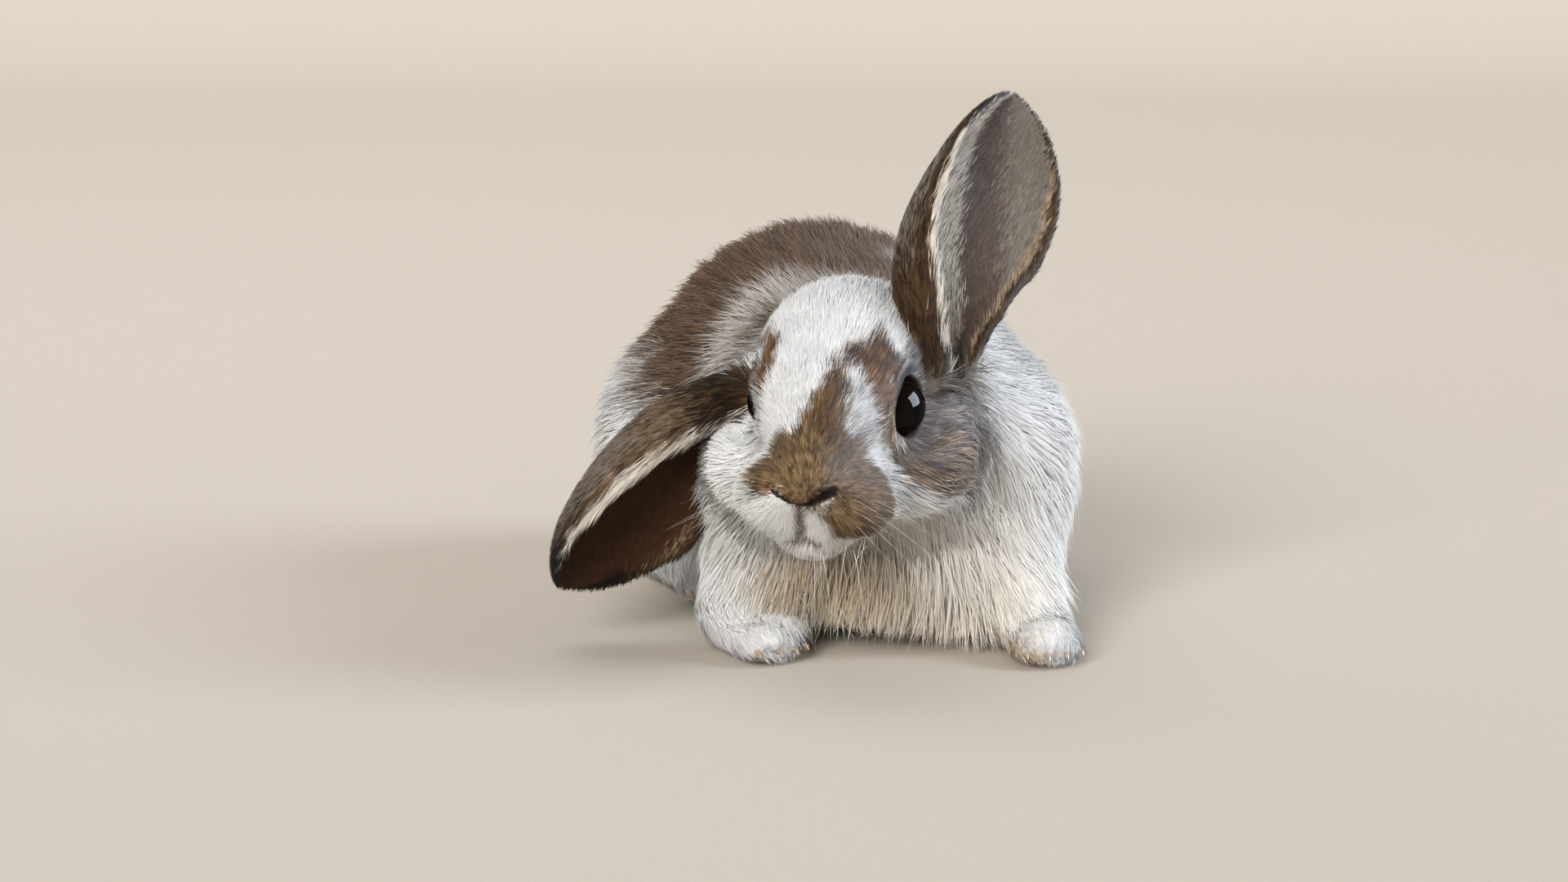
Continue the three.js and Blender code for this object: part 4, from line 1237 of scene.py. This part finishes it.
def strand(line, radii, sides=3):
    """Points and triangles of a tapered strand along a line."""
    line = np.array(line, float)
    way = unit(np.gradient(line, axis=0))
    across = unit(np.cross(way, [0.3, 0.2, 1.0]))
    up = np.cross(way, across)
    turn = np.linspace(0, 2 * np.pi, sides, endpoint=False)
    ring = across[:, None] * np.cos(turn)[None, :, None] + up[:, None] * np.sin(turn)[None, :, None]
    co = line[:, None] + ring * np.array(radii)[:, None, None]
    last = (len(line) - 1) * sides
    faces = []
    for i in range(0, last, sides):
        for j in range(sides):
            a, b = i + j, i + (j + 1) % sides
            faces += [(b, a, a + sides), (b, a + sides, b + sides)]
    for j in range(1, sides - 1):
        faces += [(0, j, j + 1), (last, last + j + 1, last + j)]
    return co.reshape(-1, 3), np.array(faces)


def join_strands(name, strands, material):
    """One piece of all the strands."""
    co, faces, start = [], [], 0
    for points_of, faces_of in strands:
        co.append(points_of)
        faces.append(faces_of + start)
        start += len(points_of)
    piece = add_mesh(name, np.vstack(co), np.vstack(faces))
    piece.data.materials.append(material)
    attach(piece, "root")
    return piece


CLAW_ROOT, CLAW_SHORT = 1.6, 3.8  # how far it starts inside the foot, and how far it ends short of the solid's tip
CLAW_BEND, CLAW_RADIUS = 0.35, 0.55


def claw_strands(node):
    """A curved claw in place of the solid one, thick at the root and drawn to a blunt point."""
    co, _ = triangles_of(node)
    centre = co.mean(0)
    way = np.linalg.svd(co - centre)[2][0]
    along = (co - centre) @ way
    end, start = co[along > along.max() - 1.2], co[along < along.min() + 1.2]
    if np.ptp(end, axis=0).sum() > np.ptp(start, axis=0).sum():  # the way runs to the thinner end
        way, along = -way, -along
    base, tip = centre + way * (along.min() - CLAW_ROOT), centre + way * (along.max() - CLAW_SHORT)
    t = np.linspace(0, 1, 12)
    line = base + (tip - base) * t[:, None] + np.array([0, 0, 1]) * (np.sin(t * np.pi) * CLAW_BEND)[:, None]
    return strand(line, CLAW_RADIUS * (1 - t**1.4) ** 0.8 + 0.05, 14)


# Claw horn, grown in layers and worn smooth by the ground: half clear and pale brown, with a dull shine.
def horn_material():
    material, tree, surface = new_material("pale_horn")
    layers = add_node(tree, "ShaderNodeMix", [(mottle(tree, 1.2, 0, 1), "Factor")], data_type="RGBA")
    layers.inputs["A"].default_value = (*linear("8f7a60"), 1)
    layers.inputs["B"].default_value = (*linear("bfae96"), 1)
    tree.links.new(layers.outputs["Result"], surface.inputs["Base Color"])
    tree.links.new(mottle(tree, 0.8, 0.3, 0.45), surface.inputs["Roughness"])
    bump(tree, surface, 0.3, 0.03)
    return material


CLAW = horn_material()
for foot in ("forepaw", "hind_foot"):
    for side in SIDES:
        nodes = [f"claw_{foot}_{side}_{i}" for i in (1, 2, 3, 4)]
        claws = join_strands(f"claws_{foot}_{side}", [claw_strands(n) for n in nodes], CLAW)
        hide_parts(*nodes)


# Long hairs: whiskers from the pads, and soft ones hanging under the chin.
# A whisker is one stiff hair, smooth and white, so it glints along its length and greys a little here and there.
def whisker_material():
    material, tree, surface = new_material("stiff_white_hair", Roughness=0.4)
    shaded(tree, surface, plain(tree, "e6e1d8"), mottle(tree, 4, 0.8, 1.05))
    return material


WHISKER = whisker_material()


def long_hair_strand(at, way, length, droop, thick):
    """A long hair from a place on the head, drooping towards its tip."""
    t = np.linspace(0, 1, 9)[:, None]
    line = HEAD.world(at) + HEAD.aim(unit(way)) * length * t + np.array([0, 0, -1]) * droop * length * t**2
    line[:, 2] = np.maximum(line[:, 2], FLOOR_GAP)
    return strand(line, thick / 2 * (1 - 0.85 * t[:, 0]))


long_hairs = []
for side in SIDES:
    for i in range(10):  # whiskers, up to four in a row
        row, place = divmod(i, 4)
        at = on_side([8.5 + 1.4 * place, -33.5 + 1.9 * place, -7.5 - 2.6 * row], side)
        way = on_side([0.75 + 0.1 * place, -0.35 + 0.24 * place, -0.22 - 0.22 * row + rng.normal() * 0.1], side)
        long_hairs.append(long_hair_strand(at, way, rng.uniform(18, 30), rng.uniform(0.05, 0.25), 0.09))
for _ in range(12):  # under the chin
    at = [rng.uniform(-3, 13), rng.uniform(-32, -26), rng.uniform(-24, -20)]
    way = [rng.uniform(-0.6, 0.6), -0.9, rng.uniform(-0.9, -0.3)]
    long_hairs.append(long_hair_strand(at, way, rng.uniform(6, 14), rng.uniform(0.4, 1.0), 0.13))
join_strands("whiskers", long_hairs, WHISKER)

# ------------------------------------------------------------
# Stage: a pale floor that sweeps up behind, and soft daylight.


def add_stage():
    """The floor, in metres, with studio paper off the roll on it: flat, with a faint fibre and no shine."""
    back, front, wide, bend, high = 1.6, -2.4, 3.0, 0.5, 2.2
    turn = np.linspace(0, math.pi / 2, 24)
    rise = [(back - bend + bend * math.sin(a), bend - bend * math.cos(a)) for a in turn]
    profile = [(front, 0)] + rise + [(back, high)]
    co = [(x, y, z) for y, z in profile for x in (-wide, wide)]
    faces = [(2 * i, 2 * i + 1, 2 * i + 3, 2 * i + 2) for i in range(len(profile) - 1)]
    floor = add_mesh("floor", np.array(co) / MM, np.array(faces))
    material, tree, surface = new_material("pale_matt_paper", Roughness=0.9, **{"Specular IOR Level": 0.0})
    shaded(tree, surface, plain(tree, "bdb6ac"), mottle(tree, 2, 0.99, 1.01))
    bump(tree, surface, 0.5, 0.02, 0.2)
    floor.data.materials.append(material)


SOFTNESS = 28  # degrees of sky that each far light fills


def add_light(name, kind, at, energy, colour, look=(0, 0, 50), size=(900, 900)):
    """A light at a place in millimetres, turned to another. Far daylight lights everything evenly from its side."""
    data = bpy.data.lights.new(name, kind)
    data.energy = energy
    data.color = tuple(linear(colour))
    if kind == "AREA":
        data.shape, data.size, data.size_y = "RECTANGLE", size[0] * MM, size[1] * MM
    else:
        data.angle = radians(SOFTNESS)
    light = bpy.data.objects.new(name, data)
    light.location = Vector(at) * MM
    light.rotation_euler = (Vector(look) * MM - light.location).to_track_quat("-Z", "Y").to_euler()
    light.visible_camera = False
    bpy.context.scene.collection.objects.link(light)
    return light


add_stage()
add_light("window", "SUN", (1578, -205, 920), 2.0, "f3f7ff").visible_glossy = False
add_light("front", "SUN", (-420, -950, 560), 3.1, "fffaf3").visible_glossy = False
add_light("sky", "AREA", (-300, 300, 1100), 4, "f6f8ff")
in_eye = add_light("window_in_eye", "AREA", (1640, -190, 770), 280, "e4eeff", (15, -64, 62), (1520, 1240))
in_eye.visible_diffuse = False
world = bpy.data.worlds.new("studio")
bpy.context.scene.world = world
world.use_nodes = True
background = world.node_tree.nodes["Background"]
background.inputs["Color"].default_value = (*linear("dcdcda"), 1)
background.inputs["Strength"].default_value = 0.52
bpy.context.scene.view_settings.view_transform = "Standard"
